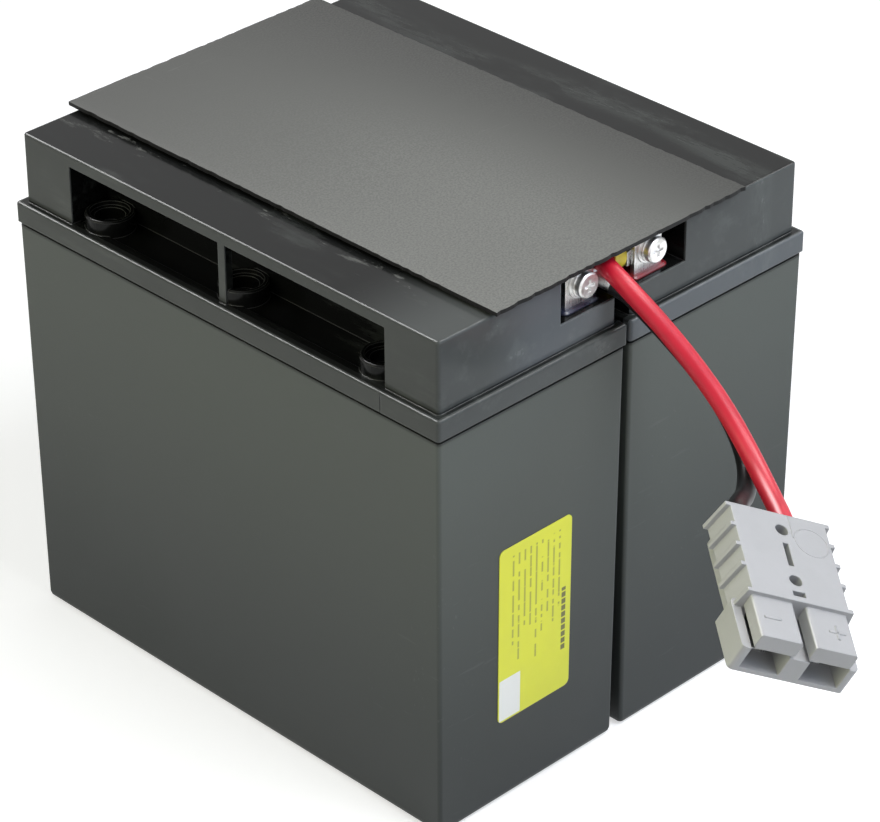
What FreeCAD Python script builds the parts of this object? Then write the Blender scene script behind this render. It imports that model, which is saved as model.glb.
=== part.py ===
import FreeCAD, Part
import math
import os

# UPS battery cartridge: two sealed lead-acid batteries side by side, one cover
# sheet over both lids, and two leads that end in a two-pole connector.
# Millimetres.  Z is up, X runs across the two batteries, and the front, with the
# leads, looks along -Y.  The origin is the middle of the footprint, on the floor.
# The left battery stands at -X.  The right one is the same battery turned half
# a turn about Z.

Vec = FreeCAD.Vector

# ---- driving dimensions: battery block --------------------------------------
battery_length = 181.0      # along Y, over the lid skirt
battery_width = 76.2        # along X, over the lid skirt
battery_height = 167.0      # floor to the top of the lid
battery_gap = 1.2           # between the two lid skirts
skirt_drop = 30.0           # lid top down to the skirt's lower edge
skirt_height = 6.8
shell_inset = 2.5           # the lid's upper shell stands in from its skirt
shell_corner = 1.2
skirt_corner = 1.1
skirt_round = 0.8          # the skirt's upper edge
lid_top_round = 0.8
witness_width = 0.4         # mould's parting mark in the outer skirt face
witness_depth = 0.3
witness_setback = 23.0      # from the skirt's front face
lid_wall = 2.6
lid_plate = 3.7             # thickness of the lid's top plate
lid_rib = 1.6

# ---- case --------------------------------------------------------------------
case_inset = 0.6            # case below the skirt, at its top
case_draft = 0.9            # extra inset of each face at the floor
case_wall = 2.8
case_floor = 3.4
case_corner = 1.2
case_foot_round = 2.2
foot_steps = 3              # flats that make up the round at the foot
rim_height = 4.0
rim_inset = 2.5             # rim's outer face, in from the skirt
rim_corner = 2.0
rim_clearance = 0.1
seam_chamfer = 0.2
seam_height = 1.0           # groove between case and skirt
seam_depth = 0.9
cell_count = 6
partition = 1.6
cell_corner = 1.2
rest_rib_width = 3.0
rest_rib_height = 4.0
fusion_overlap = 0.2        # how far a rib runs into the wall that it grows from
cut_overlap = 0.01          # how far one cut runs into the next

# ---- finger pocket in the lid's outer side ------------------------------------
pocket_length = 134.0
pocket_depth = 15.2
pocket_corner = 1.0
pocket_floor_drop = 24.0    # lid top down to the pocket's floor
post_width = 2.8
post_depth = 2.9
cup_radius = 7.6
cup_height = 5.5
cup_pitch = 59.0
cup_setback = 8.2           # cup centre in from the shell's outer face
cup_wall = 1.5
cup_step = 1.4
cup_bore = 4.6
cup_edge = 0.5              # chamfer round the cup's top

# ---- terminal wells and terminals ---------------------------------------------
well_width = 23.0           # along X, from the shell's inner face
well_depth = 22.0           # along Y, from the shell's end face
well_drop = 14.5            # lid top down to the well's floor
well_floor = 2.5
terminal_offset = 13.7      # from the skirt's inner face to the bolt's axis
flag_setback = 4.0          # flag's outer face in from the shell's end face
flag_width = 11.4
flag_thickness = 1.6
flag_top_drop = 1.6         # lid top down to the flag's top edge
bolt_drop = 6.4             # lid top down to the bolt's axis
post_radius = 4.0
post_setback = 9.0          # lead post's axis in from the shell's end face
slot_margin = 1.0           # seal's width between a terminal and its slot
slot_front_margin = 0.6     # the same, at the terminal's front
post_margin = 0.4
neck_drop = 1.0             # neck's top, below the well's floor
flag_root = 2.0             # flag's lower edge, below the well's underside
seal_width = 15.0
seal_lead = 1.6             # seal's front edge, ahead of the flag's outer face
seal_length = 13.0
seal_height = 1.0
seal_corner = 2.0
seal_edge = 0.6

# ---- fasteners (M5) ------------------------------------------------------------
bolt_radius = 2.5
head_radius = 4.0
head_height = 2.3
head_edge = 0.5
cross_length = 4.0
cross_width = 0.9
cross_depth = 0.8
bolt_tail = 1.0             # thread past the nut
washer_radius = 5.0
washer_thickness = 0.8
spring_radius = 4.3
spring_thickness = 0.9
spring_split = 0.8
nut_width = 8.0
nut_thickness = 3.0
nut_edge = 0.7
hole_clearance = 0.2
thread_clearance = 0.05

# ---- vent trench, valves and vent strip ----------------------------------------
strip_width = 17.0
strip_setback = 8.5         # strip's end, in from the lid skirt's end
strip_thickness = 2.2
strip_corner = 2.0
strip_clearance = 0.15
trench_ledge = 1.3
trench_drop = 14.0          # lid top down to the trench's floor
trench_wall = 2.2
trench_floor = 2.5
stub_radius = 4.0
stub_bore = 2.2
stub_height = 6.0
cap_radius = 5.6
cap_skirt = 5.4
cap_top = 1.8
cap_clearance = 0.1
cap_sides = 12              # flats round a valve cap
strip_rib_width = 1.0
strip_rib_height = 1.5
strip_rib_setback = 1.6     # rib's middle, in from the trench's wall

# ---- plates and straps ----------------------------------------------------------
plate_count = 9
plate_thickness = 2.0
separator_thickness = 1.05
plate_width = 61.0
plate_drop = 51.6           # lid top down to the plates' upper edge
separator_margin = 1.5
strap_width = 13.0
strap_thickness = 5.0
lug_width = 9.0
lug_height = 7.0
weld_radius = 3.2
weld_clearance = 0.2
tab_thickness = 3.0

# ---- lugs, sleeve and link bar ---------------------------------------------------
lug_thickness = 1.0
lug_ring_radius = 4.4
lug_neck_width = 5.0
black_barrel_radius = 2.35
black_barrel_length = 5.68
black_root_reach = 9.1      # bolt's axis to the barrel's root, along X
black_root_drop = 3.0       # and down
black_aim = (1.8, -5.2, -1.4)
red_barrel_radius = 2.7
red_barrel_length = 5.0
red_root_reach = 5.9
red_root_drop = 2.4
red_root_setback = 3.2      # flag's back to the barrel's axis
red_aim = (-3.4, 0.0, 1.0)
red_web_half = 2.2          # half height of the web between neck and barrel
red_web_width = 1.2
barrel_bore = 1.9
sleeve_wall = 0.7
sleeve_overhang = 2.0       # past the barrel's mouth, over the lead
sleeve_length = 5.0
sleeve_clearance = 0.1
link_thickness = 1.6
link_width = 9.0

# ---- cover sheet, tapes and label --------------------------------------------------
tape_thickness = 1.0
tape_width = 20.0
tape_length = 120.0
tape_inset = 6.0            # in from the skirt's inner face
sheet_thickness = 1.5
sheet_left = 54.2           # reach over the left lid, from the middle
sheet_right = 48.7          # reach over the right lid
sheet_corner = 1.0
pad_drop = 25.0             # skirt's lower edge down to the pad's top
pad_length = 120.0
pad_low = 62.0
label_width = 30.0
label_height = 60.5
label_low = 28.5
label_thickness = 0.2
label_corner = 2.0
label_centre = 36.8         # left of the middle

# ---- connector ---------------------------------------------------------------------
# Its own frame: X across the poles, -Y from the lead end to the mating end, and Z
# out of the marked face, with the origin on that face at the lead end.
housing_width = 35.8
housing_length = 48.4
housing_thickness = 15.6
body_length = 33.4
grip_depth = 10.5           # the grips and the wide part, down from the marked face
heel_width = 28.0           # narrower part below the grips
grip_count = 4
grip_pitch = 7.5
grip_rib = 1.3              # thickness of a grip's rib
grip_height = 1.4           # rib over the panel between two ribs
grip_slope = 1.6            # the marked face is narrower than the grips' feet by this, each side
pole_pitch = 16.8
lead_bore = 3.7
lead_bore_depth = 9.0
crimp_bore = 3.3
crimp_depth = 20.0
tongue_width = 12.8
tongue_top = 1.2            # below the marked face
tongue_bottom = 6.3
tongue_corner = 0.8
shroud_wall = 2.8
shroud_base = 1.4
shroud_top = 6.6            # side walls' edge, below the marked face
divider_width = 6.2
divider_top = 7.2
housing_corner = 1.6
shroud_lap = 3.0            # how far the shroud runs back into the gripped body
tongue_run = 5.0            # edges longer than this are the tongue's long ones
screw_hole_radius = 2.0
screw_hole_near = 6.4
screw_hole_far = 25.5
slot_width = 1.8
slot_start = 11.4
slot_length = 8.6
slot_depth = 5.0
latch_width = 4.0
latch_height = 1.8
latch_centre = 30.6
latch_depth = 3.0
contact_width = 8.0
contact_thickness = 1.8
contact_reach = 41.5
contact_gap = 0.3
crimp_radius = 3.1
crimp_wall = 0.8
crimp_web = 2.5             # solid end of the crimp barrel
contact_back = 0.5          # barrel's end, short of its bore's
neck_length = 3.0           # from the barrel to the blade
spring_width = 6.0
leaf_thickness = 0.6
leaf_rise = 2.2
leaf_start = 21.5
leaf_length = 19.0
connector_at = Vec(-18.9, -163.5, 121.3)
connector_heading = -37.0   # turn about Z
connector_dip = 12.65       # mating end below level
connector_roll = 23.6       # turn about its own long axis

# ---- leads ---------------------------------------------------------------------------
lead_diameter = 5.8
arc_share = 0.45            # of the shorter run beside a corner
red_route = [
    (3.603, -79.2, 159.611), (0.203, -79.2, 160.611), (-2.9, -80.4, 162.5),
    (-4.9, -83.2, 163.4), (-6.0, -87.6, 162.8), (-6.4, -95.4, 159.6),
    (-3.6, -104.6, 151.6), (0.4, -114.6, 140.4), (2.4, -125.4, 129.2),
    (1.0, -136.0, 120.2), (-3.6, -147.4, 114.6), (-11.28, -160.99, 112.01),
    (-19.15, -171.43, 109.07),
]
black_route = [
    (-3.399, -86.602, 156.2), (-2.175, -90.138, 155.248), (-0.9, -96.0, 151.6),
    (1.4, -103.6, 145.0), (5.2, -111.8, 135.6), (7.4, -121.6, 125.0),
    (5.4, -131.8, 114.4), (-4.8, -140.8, 110.4), (-18.0, -148.0, 116.4),
    (-26.1, -155.08, 117.96), (-32.33, -163.34, 115.64),
]

# ---- places worked out from the dimensions --------------------------------------------
half_length = battery_length / 2.0
inner_x = -battery_gap / 2.0                        # left battery's inner skirt face
outer_x = inner_x - battery_width                   # and its outer one
middle_x = inner_x - battery_width / 2.0
lid_top = battery_height
skirt_low = lid_top - skirt_drop
skirt_high = skirt_low + skirt_height
shell_outer_x = outer_x + shell_inset
shell_inner_x = inner_x - shell_inset
shell_end = half_length - shell_inset
strip_length = battery_length - 2.0 * strip_setback
plate_under = lid_top - lid_plate
rim_top = skirt_low + rim_height
ledge_z = rim_top + rim_clearance
pocket_floor = lid_top - pocket_floor_drop
well_z = lid_top - well_drop
well_x = shell_inner_x - well_width
well_y = shell_end - well_depth
trench_z = lid_top - trench_drop
trench_half = strip_width / 2.0 - trench_ledge
terminal_x = inner_x - terminal_offset
bolt_z = lid_top - bolt_drop
flag_front = shell_end - flag_setback               # distance of the flag's outer face
flag_back = flag_front - flag_thickness
cell_half_width = battery_width / 2.0 - case_inset - case_draft - case_wall
cell_half_span = half_length - case_inset - case_draft - case_wall
cell_pitch = (2.0 * cell_half_span + partition) / cell_count
cell_depth = cell_pitch - partition
plate_low = case_floor + rest_rib_height
plate_height = lid_top - plate_drop - plate_low
pack_length = plate_count * plate_thickness + (plate_count - 1) * separator_thickness
strap_low = plate_low + plate_height + lug_height
sheet_low = lid_top + tape_thickness


# ---- shared forms ---------------------------------------------------------------------

def rounded_outline(x0, x1, y0, y1, radius, z):
    """Closed wire of a rectangle with round corners, at height z."""
    corners = [(x1 - radius, y1 - radius, 0.0), (x0 + radius, y1 - radius, 90.0),
               (x0 + radius, y0 + radius, 180.0), (x1 - radius, y0 + radius, 270.0)]
    arcs = []
    for cx, cy, start in corners:
        points = []
        for turn in (0.0, 45.0, 90.0):
            angle = math.radians(start + turn)
            points.append(Vec(cx + radius * math.cos(angle), cy + radius * math.sin(angle), z))
        arcs.append(points)
    edges = []
    for index, points in enumerate(arcs):
        edges.append(Part.Arc(*points).toShape())
        following = arcs[(index + 1) % len(arcs)]
        edges.append(Part.LineSegment(points[2], following[0]).toShape())
    return Part.Wire(edges)


def rounded_slab(x0, x1, y0, y1, radius, z0, z1):
    """Upright block with round corners."""
    face = Part.Face(rounded_outline(x0, x1, y0, y1, radius, z0))
    return face.extrude(Vec(0, 0, z1 - z0))


def block(x0, x1, y0, y1, z0, z1):
    """Plain block between two corners."""
    return Part.makeBox(x1 - x0, y1 - y0, z1 - z0, Vec(x0, y0, z0))


def rod(radius, start, axis, length):
    """Round bar from a point along an axis."""
    return Part.makeCylinder(radius, length, start, axis)


def ring(outer, inner, start, axis, length):
    """Round tube or washer from a point along an axis."""
    return rod(outer, start, axis, length).cut(rod(inner, start, axis, length))


def joined(shapes):
    """One solid from pieces that touch or overlap."""
    whole = shapes[0].fuse(shapes[1:]).removeSplitter()
    return whole.Solids[0] if len(whole.Solids) == 1 else whole


def cut_all(shape, tools):
    """A shape less a list of tools."""
    return shape.cut(tools) if tools else shape


def turned(shape):
    """The right battery's copy of a left battery's piece: half a turn about Z."""
    copy = shape.copy()
    copy.rotate(Vec(0, 0, 0), Vec(0, 0, 1), 180)
    return copy


def as_made(shape):
    """The left battery's own piece."""
    return shape


def flipped(shape):
    """Mirror image of a front piece, for the back."""
    return shape.mirror(Vec(0, 0, 0), Vec(0, 1, 0))


def edges_at(shape, z):
    """Edges that lie wholly at height z."""
    found = []
    for edge in shape.Edges:
        box = edge.BoundBox
        if abs(box.ZMin - z) < 1e-4 and abs(box.ZMax - z) < 1e-4:
            found.append(edge)
    return found


def cell_middle(index):
    """Y of a cell's middle, counted from the front."""
    return (index - (cell_count - 1) / 2.0) * cell_pitch


# ---- battery case -----------------------------------------------------------------------

def case_outline(inset, z):
    """Outer outline of the case, in from the skirt's faces."""
    return rounded_outline(outer_x + inset, inner_x - inset, -half_length + inset,
                           half_length - inset, case_corner, z)


def case_body():
    """Moulded tub: drafted walls, six cells, rest ribs and a rim for the lid."""
    sections = []
    for step in range(foot_steps + 1):
        angle = math.radians(90.0 * step / foot_steps)
        height = case_foot_round * (1.0 - math.cos(angle))
        inset = case_face(height) + case_foot_round * (1.0 - math.sin(angle))
        sections.append(case_outline(inset, height))
    shoulder = skirt_low - seam_height
    sections.append(case_outline(case_face(shoulder), shoulder))
    tub = Part.makeLoft(sections, True, True)
    land_inset = case_inset + seam_depth
    land = rounded_slab(outer_x + land_inset, inner_x - land_inset, -half_length + land_inset,
                        half_length - land_inset, case_corner, shoulder - fusion_overlap, skirt_low)
    rim = rounded_slab(outer_x + rim_inset, inner_x - rim_inset, -half_length + rim_inset,
                       half_length - rim_inset, rim_corner, skirt_low - 1.0, rim_top)
    tub = joined([tub, land, rim])
    cells = []
    ribs = []
    for index in range(cell_count):
        y0 = cell_middle(index) - cell_depth / 2.0
        y1 = cell_middle(index) + cell_depth / 2.0
        cells.append(rounded_slab(middle_x - cell_half_width, middle_x + cell_half_width,
                                  y0, y1, cell_corner, case_floor, rim_top + 1.0))
        for side in (-1.0, 1.0):
            rib_x = middle_x + side * plate_width / 4.0
            ribs.append(block(rib_x - rest_rib_width / 2.0, rib_x + rest_rib_width / 2.0,
                              y0 - fusion_overlap, y1 + fusion_overlap,
                              case_floor - fusion_overlap, plate_low))
    tub = cut_all(tub, cells)
    tub = joined([tub] + ribs)
    welds = []
    for index in range(cell_count - 1):
        start = Vec(weld_x(index), cell_middle(index) + cell_pitch / 2.0 - partition, weld_z())
        welds.append(rod(weld_radius + weld_clearance, start, Vec(0, 1, 0), 2.0 * partition))
    return cut_all(tub, welds)


# ---- lid ------------------------------------------------------------------------------------

def finger_pocket():
    """Space of the long pocket behind the window, less its post."""
    half = pocket_length / 2.0
    window = block(shell_outer_x - 1.0, shell_outer_x + post_depth + pocket_corner, -half, half,
                   skirt_high, plate_under)
    post = block(shell_outer_x - 2.0, shell_outer_x + post_depth, -post_width / 2.0, post_width / 2.0,
                 skirt_high - 1.0, plate_under + 1.0)
    inside = rounded_slab(shell_outer_x + post_depth, shell_outer_x + pocket_depth, -half, half,
                          pocket_corner, pocket_floor, plate_under)
    return window.cut(post).fuse(inside)


def pocket_cup(y):
    """Round stepped cup on the pocket's floor."""
    x = shell_outer_x + cup_setback
    inner = cup_radius - cup_wall
    top = pocket_floor + cup_height
    low = pocket_floor - fusion_overlap
    profile = [(cup_bore, low), (cup_radius, low), (cup_radius, top - cup_edge), (cup_radius - cup_edge, top),
               (inner, top), (inner, top - cup_step), (cup_bore, top - cup_step)]
    points = [Vec(x + r, y, z) for r, z in profile]
    wire = Part.makePolygon(points + points[:1])
    return Part.Face(wire).revolve(Vec(x, y, 0), Vec(0, 0, 1), 360)


def terminal_well():
    """Space of the front terminal well, open to the front, the top and the inner side."""
    return block(well_x, inner_x + 1.0, -half_length - 1.0, -well_y, well_z, lid_top + 1.0)


def vent_trench():
    """Space of the vent trench, with the ledge that the strip sits in."""
    x0 = middle_x - trench_half
    x1 = middle_x + trench_half
    y1 = strip_length / 2.0 - trench_ledge
    deep = rounded_slab(x0, x1, -y1, y1, strip_corner, trench_z, lid_top + 1.0)
    wide = rounded_slab(middle_x - strip_width / 2.0 - strip_clearance,
                        middle_x + strip_width / 2.0 + strip_clearance,
                        -strip_length / 2.0 - strip_clearance, strip_length / 2.0 + strip_clearance,
                        strip_corner + strip_clearance, lid_top - strip_thickness, lid_top + 1.0)
    return deep.fuse(wide)


def vent_stubs():
    """Round stubs on the trench's floor, one for each cell's valve."""
    low = trench_z - fusion_overlap
    return [rod(stub_radius, Vec(middle_x, cell_middle(index), low), Vec(0, 0, 1),
                stub_height + fusion_overlap) for index in range(cell_count)]


def lid_cores():
    """Spaces cored from below over each cell, between ribs that meet the partitions."""
    cores = []
    pocket_back = shell_outer_x + pocket_depth + lid_rib
    trench_out = middle_x - trench_half - trench_wall
    trench_in = middle_x + trench_half + trench_wall
    inner_face = shell_inner_x - lid_wall
    end_face = shell_end - lid_wall
    pocket_end = pocket_length / 2.0 + lid_rib
    well_back = well_y - lid_rib
    well_under = well_z - well_floor
    trench_under = trench_z - trench_floor
    low = ledge_z - fusion_overlap
    for index in range(cell_count):
        y0 = max(cell_middle(index) - (cell_pitch - lid_rib) / 2.0, -end_face)
        y1 = min(cell_middle(index) + (cell_pitch - lid_rib) / 2.0, end_face)
        cores.append(block(pocket_back, trench_out, y0, y1, low, plate_under))
        cores.append(block(trench_out - cut_overlap, trench_in + cut_overlap, y0, y1, low, trench_under))
        if index in (0, cell_count - 1):
            side = -1.0 if index == 0 else 1.0
            near = sorted((side * well_back, y1 if index == 0 else y0))
            under = sorted((side * well_back, side * end_face))
            cores.append(block(trench_in, inner_face, near[0], near[1], low, plate_under))
            cores.append(block(trench_in, inner_face, under[0], under[1], low, well_under))
            corner = sorted((side * pocket_end, side * end_face))
            cores.append(block(shell_outer_x + lid_wall, pocket_back, corner[0], corner[1],
                               low, plate_under))
        else:
            cores.append(block(trench_in, inner_face, y0, y1, low, plate_under))
    return cores


def lid_body():
    """Moulded lid: skirt, upper shell, pocket with cups, wells, trench and coring."""
    skirt = rounded_slab(outer_x, inner_x, -half_length, half_length, skirt_corner, skirt_low, skirt_high)
    skirt = skirt.makeChamfer(seam_chamfer, edges_at(skirt, skirt_low))
    skirt = skirt.makeFillet(skirt_round, edges_at(skirt, skirt_high))
    witness_y = -half_length + witness_setback
    skirt = skirt.cut(block(outer_x - 1.0, outer_x + witness_depth, witness_y - witness_width / 2.0,
                            witness_y + witness_width / 2.0, skirt_low - 1.0, skirt_high + 1.0))
    shell = rounded_slab(shell_outer_x, shell_inner_x, -shell_end, shell_end, shell_corner,
                         skirt_high - 1.0, lid_top)
    shell = shell.makeFillet(lid_top_round, edges_at(shell, lid_top))
    lid = joined([skirt, shell])
    rim_face = rim_inset - rim_clearance
    rim_end = half_length - rim_face
    rim_space = rounded_slab(outer_x + rim_face, inner_x - rim_face, -rim_end, rim_end,
                             rim_corner + rim_clearance, skirt_low - 1.0, ledge_z)
    tools = [rim_space, finger_pocket(), terminal_well(), flipped(terminal_well()), vent_trench()]
    lid = cut_all(lid, tools + lid_cores())
    cups = [pocket_cup(side * cup_pitch) for side in (-1, 0, 1)]
    lid = joined([lid] + cups + vent_stubs())
    vents = [rod(stub_bore, Vec(middle_x, cell_middle(index), trench_z - trench_floor - 1.0), Vec(0, 0, 1),
                 stub_height + trench_floor + 2.0) for index in range(cell_count)]
    slot = terminal_slot()
    return cut_all(lid, vents + [slot, flipped(slot)])


def terminal_slot():
    """Hole in the front well's floor that the terminal rises through."""
    half = flag_width / 2.0 + slot_margin
    return rounded_slab(terminal_x - half, terminal_x + half, -flag_front - slot_front_margin,
                        -(shell_end - post_setback) + post_radius + post_margin, slot_margin,
                        well_z - well_floor - 1.0, well_z + 1.0)


def vent_strip():
    """Flush cover strip over the valves, with a locating rib below."""
    strip = rounded_slab(middle_x - strip_width / 2.0, middle_x + strip_width / 2.0,
                         -strip_length / 2.0, strip_length / 2.0, strip_corner,
                         lid_top - strip_thickness, lid_top)
    rib_half = strip_length / 2.0 - 2.0 * trench_ledge - strip_rib_width
    under = lid_top - strip_thickness
    ribs = []
    for side in (-1, 1):
        x0 = middle_x + side * (trench_half - strip_rib_setback) - strip_rib_width / 2.0
        ribs.append(block(x0, x0 + strip_rib_width, -rib_half, rib_half,
                          under - strip_rib_height, under + fusion_overlap))
    return joined([strip] + ribs)


def valve_cap(index):
    """Fluted rubber cap pushed over a vent stub."""
    bottom = trench_z + stub_height - cap_skirt
    top = trench_z + stub_height + cap_top
    centre = Vec(middle_x, cell_middle(index), bottom)
    points = []
    for side in range(cap_sides + 1):
        angle = math.radians(360.0 * side / cap_sides)
        points.append(centre + Vec(math.cos(angle), math.sin(angle), 0) * cap_radius)
    body = Part.Face(Part.makePolygon(points)).extrude(Vec(0, 0, top - bottom))
    return body.cut(rod(stub_radius + cap_clearance, centre - Vec(0, 0, 1), Vec(0, 0, 1), cap_skirt + 1.0))


# ---- plates, straps and terminals ----------------------------------------------------------

def strap_side(index):
    """Side of a cell's positive strap: it changes from cell to cell."""
    return 1.0 if index % 2 == 0 else -1.0


def weld_x(index):
    """X of the weld between a cell and the next one back."""
    return middle_x - strap_side(index) * (plate_width - strap_width) / 2.0


def weld_z():
    """Height of the welds through the partitions."""
    return strap_low + strap_thickness + weld_radius


def cell_pack(index):
    """Plates, separators and two cast straps of one cell."""
    y = cell_middle(index) - pack_length / 2.0
    half = plate_width / 2.0
    pieces = []
    pitch = plate_thickness + separator_thickness
    for number in range(plate_count):
        y0 = y + number * pitch
        pieces.append(block(middle_x - half, middle_x + half, y0, y0 + plate_thickness,
                            plate_low, plate_low + plate_height))
        side = strap_side(index) if number % 2 else -strap_side(index)
        lug_x = middle_x + side * (plate_width - strap_width) / 2.0
        pieces.append(block(lug_x - lug_width / 2.0, lug_x + lug_width / 2.0, y0, y0 + plate_thickness,
                            plate_low + plate_height - 1.0, strap_low + 1.0))
        if number < plate_count - 1:
            pieces.append(block(middle_x - half - separator_margin, middle_x + half + separator_margin,
                                y0 + plate_thickness, y0 + pitch,
                                plate_low, plate_low + plate_height + separator_margin))
    for side in (-1.0, 1.0):
        strap_x = middle_x + side * (plate_width - strap_width) / 2.0
        pieces.append(block(strap_x - strap_width / 2.0, strap_x + strap_width / 2.0, y, y + pack_length,
                            strap_low, strap_low + strap_thickness))
    if index < cell_count - 1:
        pieces.extend(weld_tab(index, index, 1.0))
    if index > 0:
        pieces.extend(weld_tab(index, index - 1, -1.0))
    return joined(pieces)


def weld_tab(index, wall, side):
    """Upright tab on a strap beside a partition; the front one of a pair carries the weld."""
    face_y = cell_middle(index) + side * (cell_depth / 2.0 - weld_clearance)
    y0, y1 = sorted((face_y, face_y - side * tab_thickness))
    x = weld_x(wall)
    half = strap_width / 2.0
    tab = block(x - half, x + half, y0, y1, strap_low, weld_z() + weld_radius)
    y2, y3 = sorted((cell_middle(index) + side * (pack_length / 2.0 - fusion_overlap), face_y))
    foot = block(x - half, x + half, y2, y3, strap_low, strap_low + strap_thickness)
    if side < 0:
        return [tab, foot]
    weld = rod(weld_radius, Vec(x, face_y - fusion_overlap, weld_z()), Vec(0, 1, 0),
               partition + 2.0 * weld_clearance + fusion_overlap)
    return [tab, foot, weld]


def terminal():
    """Front terminal: plated flag on a lead post that reaches down to the end cell's strap."""
    flag = block(terminal_x - flag_width / 2.0, terminal_x + flag_width / 2.0, -flag_front, -flag_back,
                 well_z - well_floor - flag_root, lid_top - flag_top_drop)
    post_y = -(shell_end - post_setback)
    foot = strap_low + strap_thickness
    post = rod(post_radius, Vec(terminal_x, post_y, foot), Vec(0, 0, 1), well_z - neck_drop - foot)
    neck = block(terminal_x - post_radius, terminal_x + post_radius, -flag_front, post_y,
                 well_z - well_floor - flag_root, well_z - neck_drop)
    shape = joined([flag, post, neck])
    hole = rod(bolt_radius + hole_clearance, Vec(terminal_x, -flag_front - 1.0, bolt_z), Vec(0, 1, 0),
               flag_thickness + 2.0)
    return shape.cut(hole)


def terminal_seal(metal):
    """Sealing compound that fills the slot round a terminal and lies on the well's floor."""
    front = -flag_front - seal_lead
    puddle = rounded_slab(terminal_x - seal_width / 2.0, terminal_x + seal_width / 2.0, front,
                          front + seal_length, seal_corner, well_z, well_z + seal_height)
    puddle = puddle.makeChamfer(seal_edge, edges_at(puddle, well_z + seal_height))
    slot = terminal_slot()
    fill = slot.common(block(outer_x, 0.0, -half_length, 0.0, well_z - well_floor,
                             well_z + cut_overlap))
    return joined([puddle, fill]).cut(metal)


# ---- fasteners ------------------------------------------------------------------------------

def fastener_sites():
    """Bolt axes: (x, side, thickness clamped behind the flag), side -1 at the front."""
    return [(terminal_x, -1.0, lug_thickness), (-terminal_x, -1.0, lug_thickness),
            (terminal_x, 1.0, link_thickness), (-terminal_x, 1.0, link_thickness)]


def at_site(shape, site):
    """Put a fastener that was made on the front of a flag at X = 0 at its own site."""
    x, side = site[:2]
    moved = flipped(shape) if side > 0 else shape.copy()
    moved.translate(Vec(x, 0, bolt_z))
    return moved


def bolt(stack):
    """Pan-head cross-recess bolt through washers, flag, lug and nut."""
    face = -flag_front - washer_thickness - spring_thickness
    head = rod(head_radius, Vec(0, face - head_height, 0), Vec(0, 1, 0), head_height)
    rims = [e for e in head.Edges if abs(e.BoundBox.YMax - (face - head_height)) < 1e-4
            and abs(e.BoundBox.YMin - (face - head_height)) < 1e-4]
    head = head.makeChamfer(head_edge, rims)
    tail = -flag_back + stack + nut_thickness + bolt_tail
    shank = rod(bolt_radius, Vec(0, face - fusion_overlap, 0), Vec(0, 1, 0), tail - face + fusion_overlap)
    half = cross_length / 2.0
    wide = cross_width / 2.0
    front = face - head_height
    recess = [block(-half, half, front - 1.0, front + cross_depth, -wide, wide),
              block(-wide, wide, front - 1.0, front + cross_depth, -half, half)]
    return joined([head, shank]).cut(recess)


def flat_washer():
    """Flat washer against the flag."""
    return ring(washer_radius, bolt_radius + hole_clearance, Vec(0, -flag_front - washer_thickness, 0),
                Vec(0, 1, 0), washer_thickness)


def spring_washer():
    """Split spring washer under the head."""
    start = -flag_front - washer_thickness - spring_thickness
    body = ring(spring_radius, bolt_radius + hole_clearance, Vec(0, start, 0),
                Vec(0, 1, 0), spring_thickness)
    split = block(-spring_split / 2.0, spring_split / 2.0, start - 1.0, start + spring_thickness + 1.0,
                  bolt_radius - 1.0, spring_radius + 1.0)
    return body.cut(split)


def square_nut(stack):
    """Square nut behind the lug or the link bar."""
    start = -flag_back + stack
    half = nut_width / 2.0
    body = block(-half, half, start, start + nut_thickness, -half, half)
    uprights = [e for e in body.Edges if e.BoundBox.YLength > nut_thickness - cut_overlap]
    body = body.makeChamfer(nut_edge, uprights)
    return body.cut(rod(bolt_radius + thread_clearance, Vec(0, start - 1.0, 0), Vec(0, 1, 0),
                        nut_thickness + 2.0))


def fastener_group(maker):
    """The four copies of a bolt or nut, each for the thickness behind its flag."""
    return Part.makeCompound([at_site(maker(site[2]), site) for site in fastener_sites()])


def washer_group(shape):
    """Four copies of one washer."""
    return Part.makeCompound([at_site(shape, site) for site in fastener_sites()])


# ---- lugs, sleeve and link bar -----------------------------------------------------------------

def tongue(bolt_x, end_x, end_z):
    """Flat ring and neck of a lug, behind a front flag."""
    y = -flag_back
    round_end = rod(lug_ring_radius, Vec(bolt_x, y, bolt_z), Vec(0, 1, 0), lug_thickness)
    run = Vec(end_x - bolt_x, 0, end_z - bolt_z)
    across = Vec(-run.z, 0, run.x).normalize() * (lug_neck_width / 2.0)
    start = Vec(bolt_x, y, bolt_z)
    end = start + run
    corners = [start + across, end + across, end - across, start - across]
    neck = Part.Face(Part.makePolygon(corners + corners[:1])).extrude(Vec(0, lug_thickness, 0))
    return [round_end, neck]


def lug_hole(bolt_x):
    """Bolt hole through a lug's ring."""
    return rod(bolt_radius + hole_clearance, Vec(bolt_x, -flag_back - 1.0, bolt_z), Vec(0, 1, 0),
               lug_thickness + 2.0)


def black_root():
    """Root and direction of the black lug's barrel."""
    root = Vec(terminal_x + black_root_reach, lug_thickness - flag_back, bolt_z - black_root_drop)
    return root, Vec(*black_aim).normalize()


def red_root():
    """Root and direction of the red lug's barrel."""
    root = Vec(-terminal_x - red_root_reach, red_root_setback - flag_back, bolt_z - red_root_drop)
    return root, Vec(*red_aim).normalize()


def black_lug():
    """Bent lug on the left front flag: its barrel points forward, along the black lead."""
    root, ahead = black_root()
    pieces = tongue(terminal_x, root.x, root.z)
    pieces.append(rod(black_barrel_radius, root, ahead, black_barrel_length))
    bore = rod(barrel_bore, root + ahead * lug_thickness, ahead, black_barrel_length)
    return joined(pieces).cut([lug_hole(terminal_x), bore])


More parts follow.
